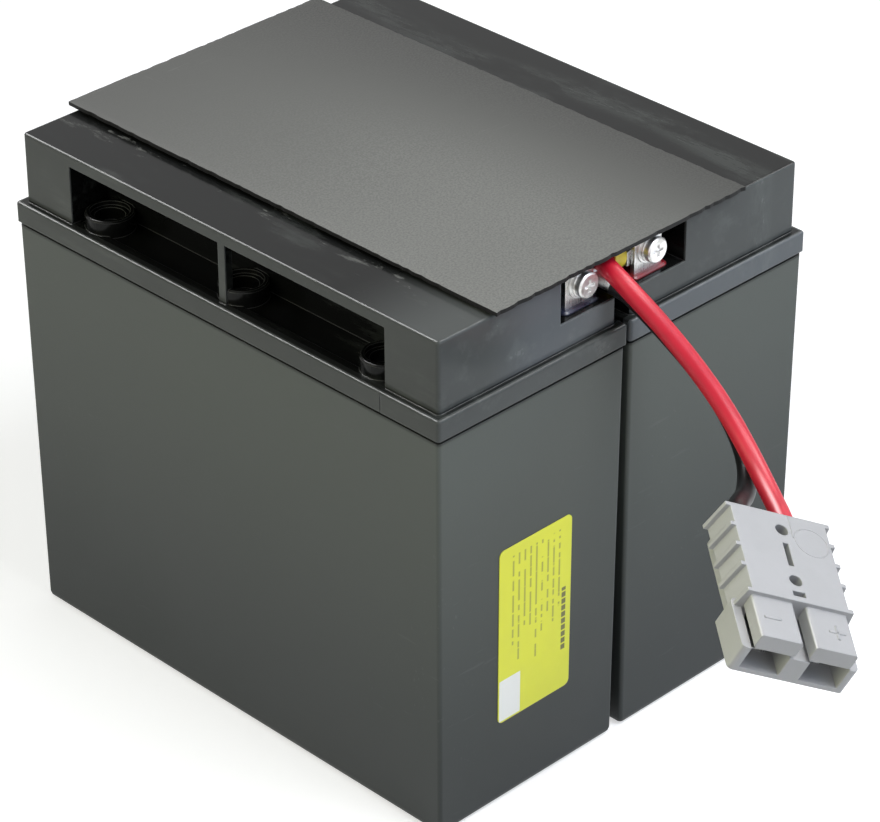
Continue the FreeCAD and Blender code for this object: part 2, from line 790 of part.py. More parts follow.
def red_lug():
    """Bent lug on the right front flag: its barrel points inward, along the red lead."""
    bolt_x = -terminal_x
    root, ahead = red_root()
    pieces = tongue(bolt_x, root.x, root.z)
    pieces.append(rod(red_barrel_radius, root, ahead, red_barrel_length))
    pieces.append(block(root.x - red_web_width, root.x, -flag_back, root.y,
                        root.z - red_web_half, root.z + red_web_half))
    bore = rod(barrel_bore, root + ahead * lug_thickness, ahead, red_barrel_length)
    return joined(pieces).cut([lug_hole(bolt_x), bore])


def yellow_sleeve():
    """Insulating sleeve over the end of the red lead and the lug's barrel."""
    root, ahead = red_root()
    start = root + ahead * (red_barrel_length + sleeve_overhang - sleeve_length)
    inner = lead_diameter / 2.0 + sleeve_clearance
    return ring(inner + sleeve_wall, inner, start, ahead, sleeve_length)


def link_bar():
    """Flat bar behind the two rear flags that joins the batteries in series."""
    half = link_width / 2.0
    y0 = flag_back - link_thickness
    bar = block(terminal_x, -terminal_x, y0, flag_back, bolt_z - half, bolt_z + half)
    ends = []
    holes = []
    for x in (terminal_x, -terminal_x):
        ends.append(rod(half, Vec(x, y0, bolt_z), Vec(0, 1, 0), link_thickness))
        holes.append(rod(bolt_radius + hole_clearance, Vec(x, y0 - 1.0, bolt_z), Vec(0, 1, 0),
                         link_thickness + 2.0))
    return joined([bar] + ends).cut(holes)


# ---- cover sheet, tapes and label -----------------------------------------------------------------

def cover_sheet():
    """Stiff sheet stuck over both lids."""
    return rounded_slab(-sheet_left, sheet_right, -half_length, half_length, sheet_corner,
                        sheet_low, sheet_low + sheet_thickness)


def lid_tape():
    """Foam adhesive strip between the left lid and the sheet."""
    x1 = inner_x - tape_inset
    half = tape_length / 2.0
    return rounded_slab(x1 - tape_width, x1, -half, half, sheet_corner, lid_top, sheet_low)


def case_face(z):
    """Inset of the drafted case face from the skirt's face at height z."""
    return case_inset + case_draft * (1.0 - z / skirt_low)


def centre_pad():
    """Foam tape between the two cases, cut to the draft of their faces."""
    top = skirt_low - pad_drop
    low_x = battery_gap / 2.0 + case_face(pad_low)
    top_x = battery_gap / 2.0 + case_face(top)
    outline = [Vec(-low_x, 0, pad_low), Vec(low_x, 0, pad_low), Vec(top_x, 0, top), Vec(-top_x, 0, top)]
    pad = Part.Face(Part.makePolygon(outline + outline[:1])).extrude(Vec(0, pad_length, 0))
    pad.translate(Vec(0, -pad_length / 2.0, 0))
    return pad


def front_label():
    """Blank label on the left case's front face, lying on the drafted wall."""
    plate = rounded_slab(-label_centre - label_width / 2.0, -label_centre + label_width / 2.0,
                         0.0, label_height, label_corner, 0.0, label_thickness)
    lean = math.degrees(math.atan(case_draft / skirt_low))
    plate.rotate(Vec(0, 0, 0), Vec(1, 0, 0), 90 + lean)
    plate.translate(Vec(0, -half_length + case_face(label_low), label_low))
    return plate


# ---- connector ------------------------------------------------------------------------------------

def pole_sides():
    """Middle of each pole: red on the right, black on the left."""
    return {"red": pole_pitch / 2.0, "black": -pole_pitch / 2.0}


def side_slab(inset, y0, y1):
    """Slab of the wide body between two distances from the lead end, with sloping sides."""
    foot = housing_width / 2.0 - inset
    top = foot - grip_slope
    outline = [Vec(-top, -y0, 0), Vec(top, -y0, 0), Vec(foot, -y0, -grip_depth), Vec(-foot, -y0, -grip_depth)]
    return Part.Face(Part.makePolygon(outline + outline[:1])).extrude(Vec(0, y0 - y1, 0))


def gripped_body():
    """Wide body: a core with flat side panels, and upright ribs between them for the fingers."""
    ribs = [side_slab(0.0, tooth * grip_pitch, tooth * grip_pitch + grip_rib) for tooth in range(grip_count)]
    ribs.append(side_slab(0.0, body_length - grip_rib, body_length))
    return joined([side_slab(grip_height, 0.0, body_length)] + ribs)


def connector_housing():
    """Two-pole housing: gripped body, two tongues above, an open shroud below."""
    half = housing_width / 2.0
    end = -housing_length
    deck = -grip_depth
    base = -housing_thickness
    heel = rounded_slab(-heel_width / 2.0, heel_width / 2.0, -body_length, 0.0, housing_corner,
                        base, deck + fusion_overlap)
    shroud = rounded_slab(-half, half, end, -body_length + shroud_lap, housing_corner, base, -shroud_top)
    shape = joined([gripped_body(), heel, shroud])
    tools = []
    for middle in pole_sides().values():
        side = 1.0 if middle > 0 else -1.0
        near = side * divider_width / 2.0
        far = side * (half - shroud_wall)
        x0, x1 = sorted((near, far))
        tools.append(block(x0, x1, end - 1.0, -body_length, base + shroud_base, 0.0))
        mouth = Vec(middle, 0.0, base / 2.0)
        tools.append(rod(lead_bore, mouth + Vec(0, 1, 0), Vec(0, -1, 0), lead_bore_depth + 1.0))
        tools.append(rod(crimp_bore, mouth, Vec(0, -1, 0), crimp_depth))
        room = contact_width / 2.0 + contact_gap
        tools.append(block(middle - room, middle + room, -body_length - 1.0, -crimp_depth + 1.0,
                           base + shroud_base, -tongue_bottom))
    lowered = divider_width / 2.0 + cut_overlap
    tools.append(block(-lowered, lowered, end - 1.0, -body_length, -divider_top, 0.0))
    shape = cut_all(shape, tools)
    tongues = []
    for middle in pole_sides().values():
        tongues.append(rounded_tongue(middle))
    shape = joined([shape] + tongues)
    holes = [rod(screw_hole_radius, Vec(0, -y, 1.0), Vec(0, 0, -1), housing_thickness + 2.0)
             for y in (screw_hole_near, screw_hole_far)]
    holes.append(block(-slot_width / 2.0, slot_width / 2.0, -slot_start - slot_length, -slot_start,
                       -slot_depth, 1.0))
    holes.append(block(-latch_width / 2.0, latch_width / 2.0, -latch_centre - latch_height / 2.0,
                       -latch_centre + latch_height / 2.0, -latch_depth, 1.0))
    return cut_all(shape, holes)


def rounded_tongue(middle):
    """Tongue over one pole, with its long edges rounded."""
    half = tongue_width / 2.0
    shape = block(middle - half, middle + half, -housing_length, -body_length + 2.0,
                  -tongue_bottom, -tongue_top)
    runs = [e for e in shape.Edges if e.BoundBox.YLength > tongue_run]
    return shape.makeFillet(tongue_corner, runs)


def contact(middle):
    """Flat blade under a tongue, with a crimp barrel round the wire."""
    crimp_front = -lead_bore_depth
    length = crimp_depth - lead_bore_depth - contact_back
    mouth = Vec(middle, crimp_front, -housing_thickness / 2.0)
    barrel = rod(crimp_radius, mouth, Vec(0, -1, 0), length)
    bore = rod(crimp_radius - crimp_wall, mouth + Vec(0, 1, 0), Vec(0, -1, 0), length - crimp_web)
    half = contact_width / 2.0
    top = -tongue_bottom - contact_gap
    blade = block(middle - half, middle + half, -contact_reach, -crimp_depth - contact_gap,
                  top - contact_thickness, top)
    neck_half = crimp_radius - crimp_wall / 2.0
    neck = block(middle - neck_half, middle + neck_half, -crimp_depth - neck_length / 2.0,
                 -crimp_depth + neck_length / 2.0, top - contact_thickness, top)
    return joined([barrel, blade, neck]).cut(bore)


def leaf_spring(middle):
    """Bowed leaf on the housing's floor that backs the mating blade."""
    low = -housing_thickness + shroud_base
    y0 = -leaf_start
    y1 = y0 - leaf_length
    peak = Vec(0, (y0 + y1) / 2.0, low + leaf_rise)
    lower = Part.Arc(Vec(0, y0, low), peak, Vec(0, y1, low))
    upper = Part.Arc(Vec(0, y1, low + leaf_thickness), peak + Vec(0, 0, leaf_thickness),
                     Vec(0, y0, low + leaf_thickness))
    near = Part.LineSegment(Vec(0, y0, low + leaf_thickness), Vec(0, y0, low))
    far = Part.LineSegment(Vec(0, y1, low), Vec(0, y1, low + leaf_thickness))
    outline = Part.Wire([lower.toShape(), far.toShape(), upper.toShape(), near.toShape()])
    leaf = Part.Face(outline).extrude(Vec(spring_width, 0, 0))
    leaf.translate(Vec(middle - spring_width / 2.0, 0, 0))
    return leaf


def on_connector(shape):
    """Put a piece made in the connector's own frame where the connector hangs."""
    turn = (FreeCAD.Rotation(Vec(0, 0, 1), connector_heading)
            * FreeCAD.Rotation(Vec(1, 0, 0), connector_dip)
            * FreeCAD.Rotation(Vec(0, 1, 0), connector_roll))
    placed = shape.copy()
    placed.transformShape(FreeCAD.Placement(connector_at, turn).toMatrix(), True)
    return placed


# ---- leads ------------------------------------------------------------------------------------------

def lead(name, route):
    """Round lead along straight runs joined by tangent arcs."""
    points = [Vec(*p) for p in route]
    edges = []
    radii = []
    start = points[0]
    for before, here, after in zip(points, points[1:], points[2:]):
        back = before - here
        ahead = after - here
        shorter = min(back.Length, ahead.Length)
        back.normalize()
        ahead.normalize()
        turn = math.pi - back.getAngle(ahead)
        setback = arc_share * shorter
        radius = setback / math.tan(turn / 2.0)
        inward = back + ahead
        inward.normalize()
        centre = here + inward * (radius / math.cos(turn / 2.0))
        arc_start = here + back * setback
        arc_end = here + ahead * setback
        edges.append(Part.LineSegment(start, arc_start).toShape())
        edges.append(Part.Arc(arc_start, centre - inward * radius, arc_end).toShape())
        start = arc_end
        radii.append(round(radius, 1))
    edges.append(Part.LineSegment(start, points[-1]).toShape())
    path = Part.Wire(edges)
    section = Part.Wire(Part.makeCircle(lead_diameter / 2.0, points[0], points[1] - points[0]))
    tube = path.makePipeShell([section], True, False)
    if isinstance(tube, Part.Shell):
        tube = Part.Solid(tube)
    expected = math.pi * (lead_diameter / 2.0) ** 2 * path.Length
    print(name, "length", round(path.Length, 1), "radii", radii,
          "volume ratio", round(tube.Volume / expected, 4))
    return tube


# ---- the whole part -----------------------------------------------------------------------------------

def build_nodes():
    """Every piece, by node name."""
    nodes = {}
    for name, place in (("left", as_made), ("right", turned)):
        nodes[name + "_case"] = place(case_body())
        nodes[name + "_lid"] = place(lid_body())
        nodes[name + "_vent_strip"] = place(vent_strip())
        for index in range(cell_count):
            nodes[f"{name}_cell_pack_{index + 1}"] = place(cell_pack(index))
            nodes[f"{name}_valve_cap_{index + 1}"] = place(valve_cap(index))
        metal = terminal()
        seal = terminal_seal(metal)
        front, rear = ("front", "rear") if name == "left" else ("rear", "front")
        nodes[f"{name}_{front}_terminal"] = place(metal)
        nodes[f"{name}_{front}_seal"] = place(seal)
        nodes[f"{name}_{rear}_terminal"] = place(flipped(metal))
        nodes[f"{name}_{rear}_seal"] = place(flipped(seal))
        nodes[name + "_tape"] = place(lid_tape())
    nodes["terminal_bolts"] = fastener_group(bolt)
    nodes["spring_washers"] = washer_group(spring_washer())
    nodes["flat_washers"] = washer_group(flat_washer())
    nodes["terminal_nuts"] = fastener_group(square_nut)
    nodes["black_lug"] = black_lug()
    nodes["red_lug"] = red_lug()
    nodes["yellow_sleeve"] = yellow_sleeve()
    nodes["link_bar"] = link_bar()
    nodes["cover_sheet"] = cover_sheet()
    nodes["centre_pad"] = centre_pad()
    nodes["front_label"] = front_label()
    nodes["connector_housing"] = on_connector(connector_housing())
    for name, middle in pole_sides().items():
        nodes[name + "_contact"] = on_connector(contact(middle))
        nodes[name + "_contact_spring"] = on_connector(leaf_spring(middle))
    nodes["red_lead"] = lead("red_lead", red_route)
    nodes["black_lead"] = lead("black_lead", black_route)
    return nodes


os.makedirs("parts", exist_ok=True)
for node_name, node_shape in build_nodes().items():
    node_shape.exportStep("parts/" + node_name + ".step")
    print(node_name, len(node_shape.Solids), round(node_shape.Volume, 1), node_shape.isValid())
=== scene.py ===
"""Looks of a UPS battery cartridge: two sealed batteries under a cover sheet, with leads and connector."""
import logging
import math
import random
from dataclasses import dataclass
from enum import Enum
from functools import cache
from typing import Sequence

import bmesh
import bpy
from mathutils import Matrix, Vector


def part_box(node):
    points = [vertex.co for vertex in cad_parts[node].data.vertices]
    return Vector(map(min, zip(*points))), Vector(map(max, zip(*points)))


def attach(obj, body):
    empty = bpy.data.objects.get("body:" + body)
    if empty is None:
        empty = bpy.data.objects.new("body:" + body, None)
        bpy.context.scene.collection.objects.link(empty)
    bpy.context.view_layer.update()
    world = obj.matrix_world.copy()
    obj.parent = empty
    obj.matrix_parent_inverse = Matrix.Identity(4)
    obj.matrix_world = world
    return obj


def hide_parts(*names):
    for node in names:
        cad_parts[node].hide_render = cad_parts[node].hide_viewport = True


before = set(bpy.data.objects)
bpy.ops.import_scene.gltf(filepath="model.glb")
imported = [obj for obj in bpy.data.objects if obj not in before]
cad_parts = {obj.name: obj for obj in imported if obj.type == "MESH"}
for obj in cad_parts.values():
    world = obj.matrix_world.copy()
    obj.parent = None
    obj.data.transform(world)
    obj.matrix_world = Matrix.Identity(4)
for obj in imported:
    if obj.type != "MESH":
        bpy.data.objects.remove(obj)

LOG = logging.getLogger("battery_cartridge")
Triple = tuple[float, float, float]
Pair = tuple[float, float]
Colour = Triple
Socket = bpy.types.NodeSocket
MM = 0.001


class Slot(Enum):
    """Material slots of the record that the finishes stand for."""

    CASE = "case_plastic"
    LID = "lid_plastic"
    STRIP = "strip_plastic"
    PLATES = "plate_lead"
    VALVE = "valve_rubber"
    FOAM = "adhesive_foam"
    FLAG = "tinned_flag"
    SEAL_DARK = "seal_dark"
    SEAL_RED = "seal_red"
    STEEL = "plated_steel"
    LUG = "tinned_lug"
    SLEEVE = "sleeve_yellow"
    SHEET = "sheet_grey"
    LABEL = "label_yellow"
    CONNECTOR = "connector_grey"
    CONTACT = "contact_silver"
    SPRING = "spring_steel"
    RED_LEAD = "lead_red"
    BLACK_LEAD = "lead_black"


# ---- node graphs ----


class Graph:
    """Short names for adding and joining the nodes of one tree."""

    def __init__(self, tree: bpy.types.NodeTree) -> None:
        """Keep the tree to build in, a material's or a node group's."""
        self.tree = tree

    def add(self, kind: str, **settings: object) -> bpy.types.Node:
        """Add a node and set its properties.

        Args:
            kind: the node's type name, without its "ShaderNode" start.
            settings: properties of the node.

        Returns:
            The new node.
        """
        node = self.tree.nodes.new("ShaderNode" + kind)
        for key, value in settings.items():
            setattr(node, key, value)
        return node

    def feed(self, socket: Socket, value: object) -> None:
        """Link a socket to another one, or give it a value.

        Args:
            socket: the input to fill.
            value: an output socket, a number or a colour.
        """
        if isinstance(value, Socket):
            self.tree.links.new(value, socket)
        elif socket.type == "RGBA":
            socket.default_value = (*tuple(value)[:3], 1.0)
        else:
            socket.default_value = value

    def fill(self, node: bpy.types.Node, *values: object, **named: object) -> bpy.types.Node:
        """Feed a node's inputs.

        Args:
            node: the node to feed.
            values: values or sockets for its inputs in their order.
            named: values or sockets for its inputs by name.

        Returns:
            The same node.
        """
        for socket, value in zip(node.inputs, values):
            self.feed(socket, value)
        for label, value in named.items():
            self.feed(node.inputs[label], value)
        return node

    def group(self, tree: bpy.types.NodeTree, **named: object) -> bpy.types.Node:
        """Add a node group, with its inputs by name."""
        return self.fill(self.add("Group", node_tree=tree), **named)

    def math(self, operation: str, a: object, b: object = 0.0, clamp: bool = False) -> Socket:
        """Arithmetic on one or two values, kept between 0 and 1 if asked."""
        return self.fill(self.add("Math", operation=operation, use_clamp=clamp), a, b).outputs[0]

    def times(self, first: object, *others: object) -> Socket:
        """Product of values.

        Args:
            first: first value or socket.
            others: the values or sockets to multiply it by, in turn.

        Returns:
            The product's socket.
        """
        for other in others:
            first = self.math("MULTIPLY", first, other)
        return first

    def above(self, value: object, limit: float) -> Socket:
        """1 where a value is over a limit, and 0 elsewhere."""
        return self.math("GREATER_THAN", value, limit)

    def below(self, value: object, limit: float) -> Socket:
        """1 where a value is under a limit, and 0 elsewhere."""
        return self.math("LESS_THAN", value, limit)

    def apart(self, value: object, centre: float) -> Socket:
        """Distance of a value from a centre."""
        return self.math("ABSOLUTE", self.math("SUBTRACT", value, centre))

    def dot(self, a: object, b: object) -> Socket:
        """Dot product of two vectors."""
        return self.fill(self.add("VectorMath", operation="DOT_PRODUCT"), a, b).outputs["Value"]

    def flat_normal(self) -> Socket:
        """Normal of the face itself, before any softening."""
        return self.add("NewGeometry").outputs["True Normal"]

    def remap(self, value: object, low: object, high: object, to_low: object = 0.0,
              to_high: object = 1.0) -> Socket:
        """Map the range from low to high to another one, smoothly and clamped."""
        node = self.add("MapRange", interpolation_type="SMOOTHSTEP")
        return self.fill(node, value, low, high, to_low, to_high).outputs[0]

    def blend(self, factor: object, first: object, second: object) -> Socket:
        """Mix two colours.

        Args:
            factor: 0 gives the first and 1 the second.
            first: a colour or socket.
            second: a colour or socket.

        Returns:
            The mixed colour's socket.
        """
        node = self.add("Mix", data_type="RGBA")
        for index, value in ((0, factor), (6, first), (7, second)):
            self.feed(node.inputs[index], value)
        return node.outputs[2]

    def position(self, stretch: Sequence[float] = (1.0, 1.0, 1.0),
                 turn: Sequence[float] = (0.0, 0.0, 0.0)) -> Socket:
        """Place on the object in metres, stretched or turned.

        Args:
            stretch: scale along each axis.
            turn: Euler angles in radians.

        Returns:
            The place as a vector socket.
        """
        place = self.add("TexCoord").outputs["Object"]
        if tuple(stretch) == (1.0, 1.0, 1.0) and tuple(turn) == (0.0, 0.0, 0.0):
            return place
        return self.fill(self.add("Mapping"), Vector=place, Scale=stretch, Rotation=turn).outputs["Vector"]

    def axes(self, vector: Socket) -> list[Socket]:
        """X, Y and Z of a vector."""
        return list(self.fill(self.add("SeparateXYZ"), vector).outputs)

    def place(self) -> list[Socket]:
        """X, Y and Z of the place on the object."""
        return self.axes(self.position())

    def noise(self, scale: object, detail: float, rough: float, vector: Socket | None = None) -> Socket:
        """Noise at a place, by its cells in a metre, its octaves and their weight."""
        node = self.fill(self.add("TexNoise"), Scale=scale, Detail=detail, Roughness=rough)
        return self.fill(node, Vector=vector or self.position()).outputs["Fac"]

    def bump(self, height: Socket, distance: float, strength: float, normal: Socket) -> Socket:
        """Normal from a height that stands out by a distance in metres, over another normal."""
        node = self.add("Bump")
        return self.fill(node, Distance=distance, Strength=strength, Height=height, Normal=normal).outputs[0]


@dataclass(frozen=True)
class Strokes:
    """Noise, stretched or turned, that is cut to a mask of streaks or patches."""

    scale: float
    low: float
    high: float
    detail: float = 2.0
    rough: float = 0.5
    stretch: Triple = (1.0, 1.0, 1.0)
    turn: Triple = (0.0, 0.0, 0.0)
    rest: float = 0.0
    full: float = 1.0

    def mask(self, graph: Graph, scale: object = None) -> Socket:
        """Put the noise in a graph.

        Args:
            graph: the graph of a material or a group.
            scale: a socket in place of its own scale.

        Returns:
            Its mask, from rest to full where the noise goes from low to high.
        """
        place = graph.position(self.stretch, self.turn)
        lines = graph.noise(self.scale if scale is None else scale, self.detail, self.rough, place)
        return graph.remap(lines, self.low, self.high, self.rest, self.full)


class Effects:
    """Surface effects that several finishes share, each a node group built once."""

    EDGE_SAMPLES = 6
    EDGE_COSINES = (0.995, 0.86)
    GRAIN_COARSER = 0.31
    GRAIN_FINE_SHARE = 0.65
    CLOUD = Strokes(20.0, 0.3, 0.7, 4.0, 0.6)
    SCUFFS = (Strokes(60.0, 0.68, 0.74, stretch=(1.0, 14.0, 9.0), turn=(0.3, 0.2, 0.5)),
              Strokes(60.0, 0.68, 0.74, stretch=(12.0, 1.0, 10.0), turn=(0.1, 0.5, -0.4)))
    WORN = Strokes(17.0, 0.48, 0.66, rough=0.55)

    @staticmethod
    def start(name: str, inputs: dict[str, float],
              *outputs: str) -> tuple[Graph, bpy.types.Node, bpy.types.Node]:
        """Start a node group with named sockets.

        Args:
            name: the group's name.
            inputs: default values of its inputs, by name.
            outputs: names of its outputs. "Normal" is a vector and the others are values.

        Returns:
            A graph over the group's tree, its input node and its output node.
        """
        tree = bpy.data.node_groups.new(name, "ShaderNodeTree")
        for label, value in inputs.items():
            socket = tree.interface.new_socket(label, in_out="INPUT", socket_type="NodeSocketFloat")
            socket.default_value = value
        for label in outputs:
            kind = "NodeSocketVector" if label == "Normal" else "NodeSocketFloat"
            tree.interface.new_socket(label, in_out="OUTPUT", socket_type=kind)
        return Graph(tree), tree.nodes.new("NodeGroupInput"), tree.nodes.new("NodeGroupOutput")

    @classmethod
    @cache
    def edges(cls) -> bpy.types.NodeTree:
        """Group with a softened normal at sharp edges and a mask of those edges.

        Returns:
            The group's tree.
        """
        graph, given, result = cls.start("soft_edges", {"Radius": 0.0004}, "Normal", "Mask")
        bevel = graph.fill(graph.add("Bevel", samples=cls.EDGE_SAMPLES), given.outputs["Radius"])
        cosine = graph.dot(bevel.outputs[0], graph.flat_normal())
        graph.fill(result, bevel.outputs[0], graph.remap(cosine, *cls.EDGE_COSINES))
        return graph.tree

    @classmethod
    @cache
    def grain(cls) -> bpy.types.NodeTree:
        """Group with the fine moulded grain of a surface, as a height.

        Returns:
            The group's tree.
        """
        graph, given, result = cls.start("moulded_grain", {"Scale": 1500.0}, "Height")
        scale = given.outputs["Scale"]
        fine = graph.noise(scale, 2.0, 0.6)
        coarse = graph.noise(graph.times(scale, cls.GRAIN_COARSER), 2.0, 0.5)
        graph.fill(result, graph.math("ADD", graph.times(fine, cls.GRAIN_FINE_SHARE),
                                      graph.times(coarse, 1.0 - cls.GRAIN_FINE_SHARE)))
        return graph.tree

    @classmethod
    @cache
    def cloud(cls) -> bpy.types.NodeTree:
        """Group with slow uneven patches, from 0 to 1.

        Returns:
            The group's tree.
        """
        graph, given, result = cls.start("slow_cloud", {"Scale": cls.CLOUD.scale}, "Value")
        graph.fill(result, cls.CLOUD.mask(graph, given.outputs["Scale"]))
        return graph.tree

    @classmethod
    @cache
    def scuffs(cls) -> bpy.types.NodeTree:
        """Group with thin scuffed lines in two directions, as a mask.

        Returns:
            The group's tree.
        """
        graph, given, result = cls.start("thin_scuffs", {"Scale": cls.SCUFFS[0].scale, "Amount": 0.5},
                                         "Mask")
        first, second = (lines.mask(graph, given.outputs["Scale"]) for lines in cls.SCUFFS)
        both = graph.math("MAXIMUM", first, second)
        graph.fill(result, graph.times(both, cls.WORN.mask(graph), given.outputs["Amount"]))
        return graph.tree


# ---- finishes ----


@dataclass(frozen=True)
class Finish:
    """A surface finish, with the wear that all of them share and a painted highlight along sharp edges."""

    slot: Slot
    colour: Colour
    roughness: float = 0.5
    metallic: float = 0.0
    specular: float = 0.5
    coat: float = 0.0
    coat_roughness: float = 0.1
    rough_spread: Pair = (0.92, 1.1)
    grain_scale: float = 1500.0
    grain_depth: float = 0.00003
    grain_strength: float = 0.35
    cloud_scale: float = 18.0
    cloud_share: float = 0.12
    edge_radius: float = 0.0004
    # Share of the painted highlight along sharp edges.
    edge_highlight: float = 0.15
    scuff: float = 0.15
    scuff_scale: float = 60.0
    scuff_dull: float = 0.3
    highlight_and_wear_share: float = 0.25

    def shade(self, share: float) -> Colour:
        """The finish's colour, darker or paler by a factor."""
        return tuple(min(1.0, c * share) for c in self.colour)

    def tint(self, graph: Graph, colour: Socket) -> Socket:
        """Marks of the finish's own, over its base colour."""
        return colour

    def gloss(self, graph: Graph, rough: Socket) -> Socket:
        """Changes of the finish's own to its roughness."""
        return rough

    def build(self) -> bpy.types.Material:
        """Make the material.

        Returns:
            The new material.
        """
        material = bpy.data.materials.new(self.slot.value)
        material.use_nodes = True
        material.node_tree.nodes.clear()
        material.diffuse_color = (*self.colour, 1.0)
        graph = Graph(material.node_tree)
        edge = graph.group(Effects.edges(), Radius=self.edge_radius)
        cloud = graph.group(Effects.cloud(), Scale=self.cloud_scale).outputs["Value"]
        scuffs = graph.group(Effects.scuffs(), Scale=self.scuff_scale, Amount=self.scuff)
        scuff = scuffs.outputs["Mask"]
        grain = graph.group(Effects.grain(), Scale=self.grain_scale).outputs["Height"]
        # Pale colour for both the painted edge highlight and the scuffs.
        highlight_and_wear = tuple(c + self.highlight_and_wear_share * (1.0 - c) for c in self.colour)
        colour = graph.blend(cloud, self.shade(1.0 - self.cloud_share), self.shade(1.0 + self.cloud_share))
        colour = self.tint(graph, colour)
        # Painted highlight: sharp edges lifted towards the pale colour.
        colour = graph.blend(graph.times(edge.outputs["Mask"], self.edge_highlight), colour, highlight_and_wear)
        colour = graph.blend(scuff, colour, highlight_and_wear)
        smooth, dull = (min(1.0, self.roughness * spread) for spread in self.rough_spread)
        rough = graph.remap(cloud, 0.0, 1.0, smooth, dull)
        rough = graph.math("ADD", rough, graph.times(scuff, self.scuff_dull), clamp=True)
        normal = graph.bump(grain, self.grain_depth, self.grain_strength, edge.outputs["Normal"])
        shader = graph.fill(graph.add("BsdfPrincipled"), **{
            "Metallic": self.metallic, "Specular IOR Level": self.specular, "Coat Weight": self.coat,
            "Coat Roughness": self.coat_roughness, "Base Color": colour,
            "Roughness": self.gloss(graph, rough), "Normal": normal})
        graph.fill(graph.add("OutputMaterial"), shader.outputs[0])
        return material


@dataclass(frozen=True)
class MouldedCase(Finish):
    """Case plastic, with painted shade that darkens it towards its foot and a painted shadow in the groove
    under the lid's skirt.
    """

    foot_top: float = 0.15
    foot_shade_share: float = 0.80
    foot_shade_colour: Colour = (0.012, 0.015, 0.017)
    skirt_low: float = 0.137
    seam_fade: Pair = (0.0022, 0.0011)
    seam_shadow_share: float = 0.85
    seam_shade: float = 0.1

    def tint(self, graph: Graph, colour: Socket) -> Socket:
        """Paint shade towards the foot and a shadow in the groove under the skirt.

        Args:
            graph: the material's graph.
            colour: the base colour.

        Returns:
            The shaded colour.
        """
        height = graph.place()[2]
        # Painted shade: darker towards the foot.
        foot = graph.remap(height, self.foot_top, 0.0, 0.0, self.foot_shade_share)
        colour = graph.blend(foot, colour, self.foot_shade_colour)
        # Painted shadow in the groove just under the lid's skirt.
        start, end = (self.skirt_low - fade for fade in self.seam_fade)
        seam_shadow = graph.remap(height, start, end, 0.0, self.seam_shadow_share)
        return graph.blend(seam_shadow, colour, self.shade(self.seam_shade))


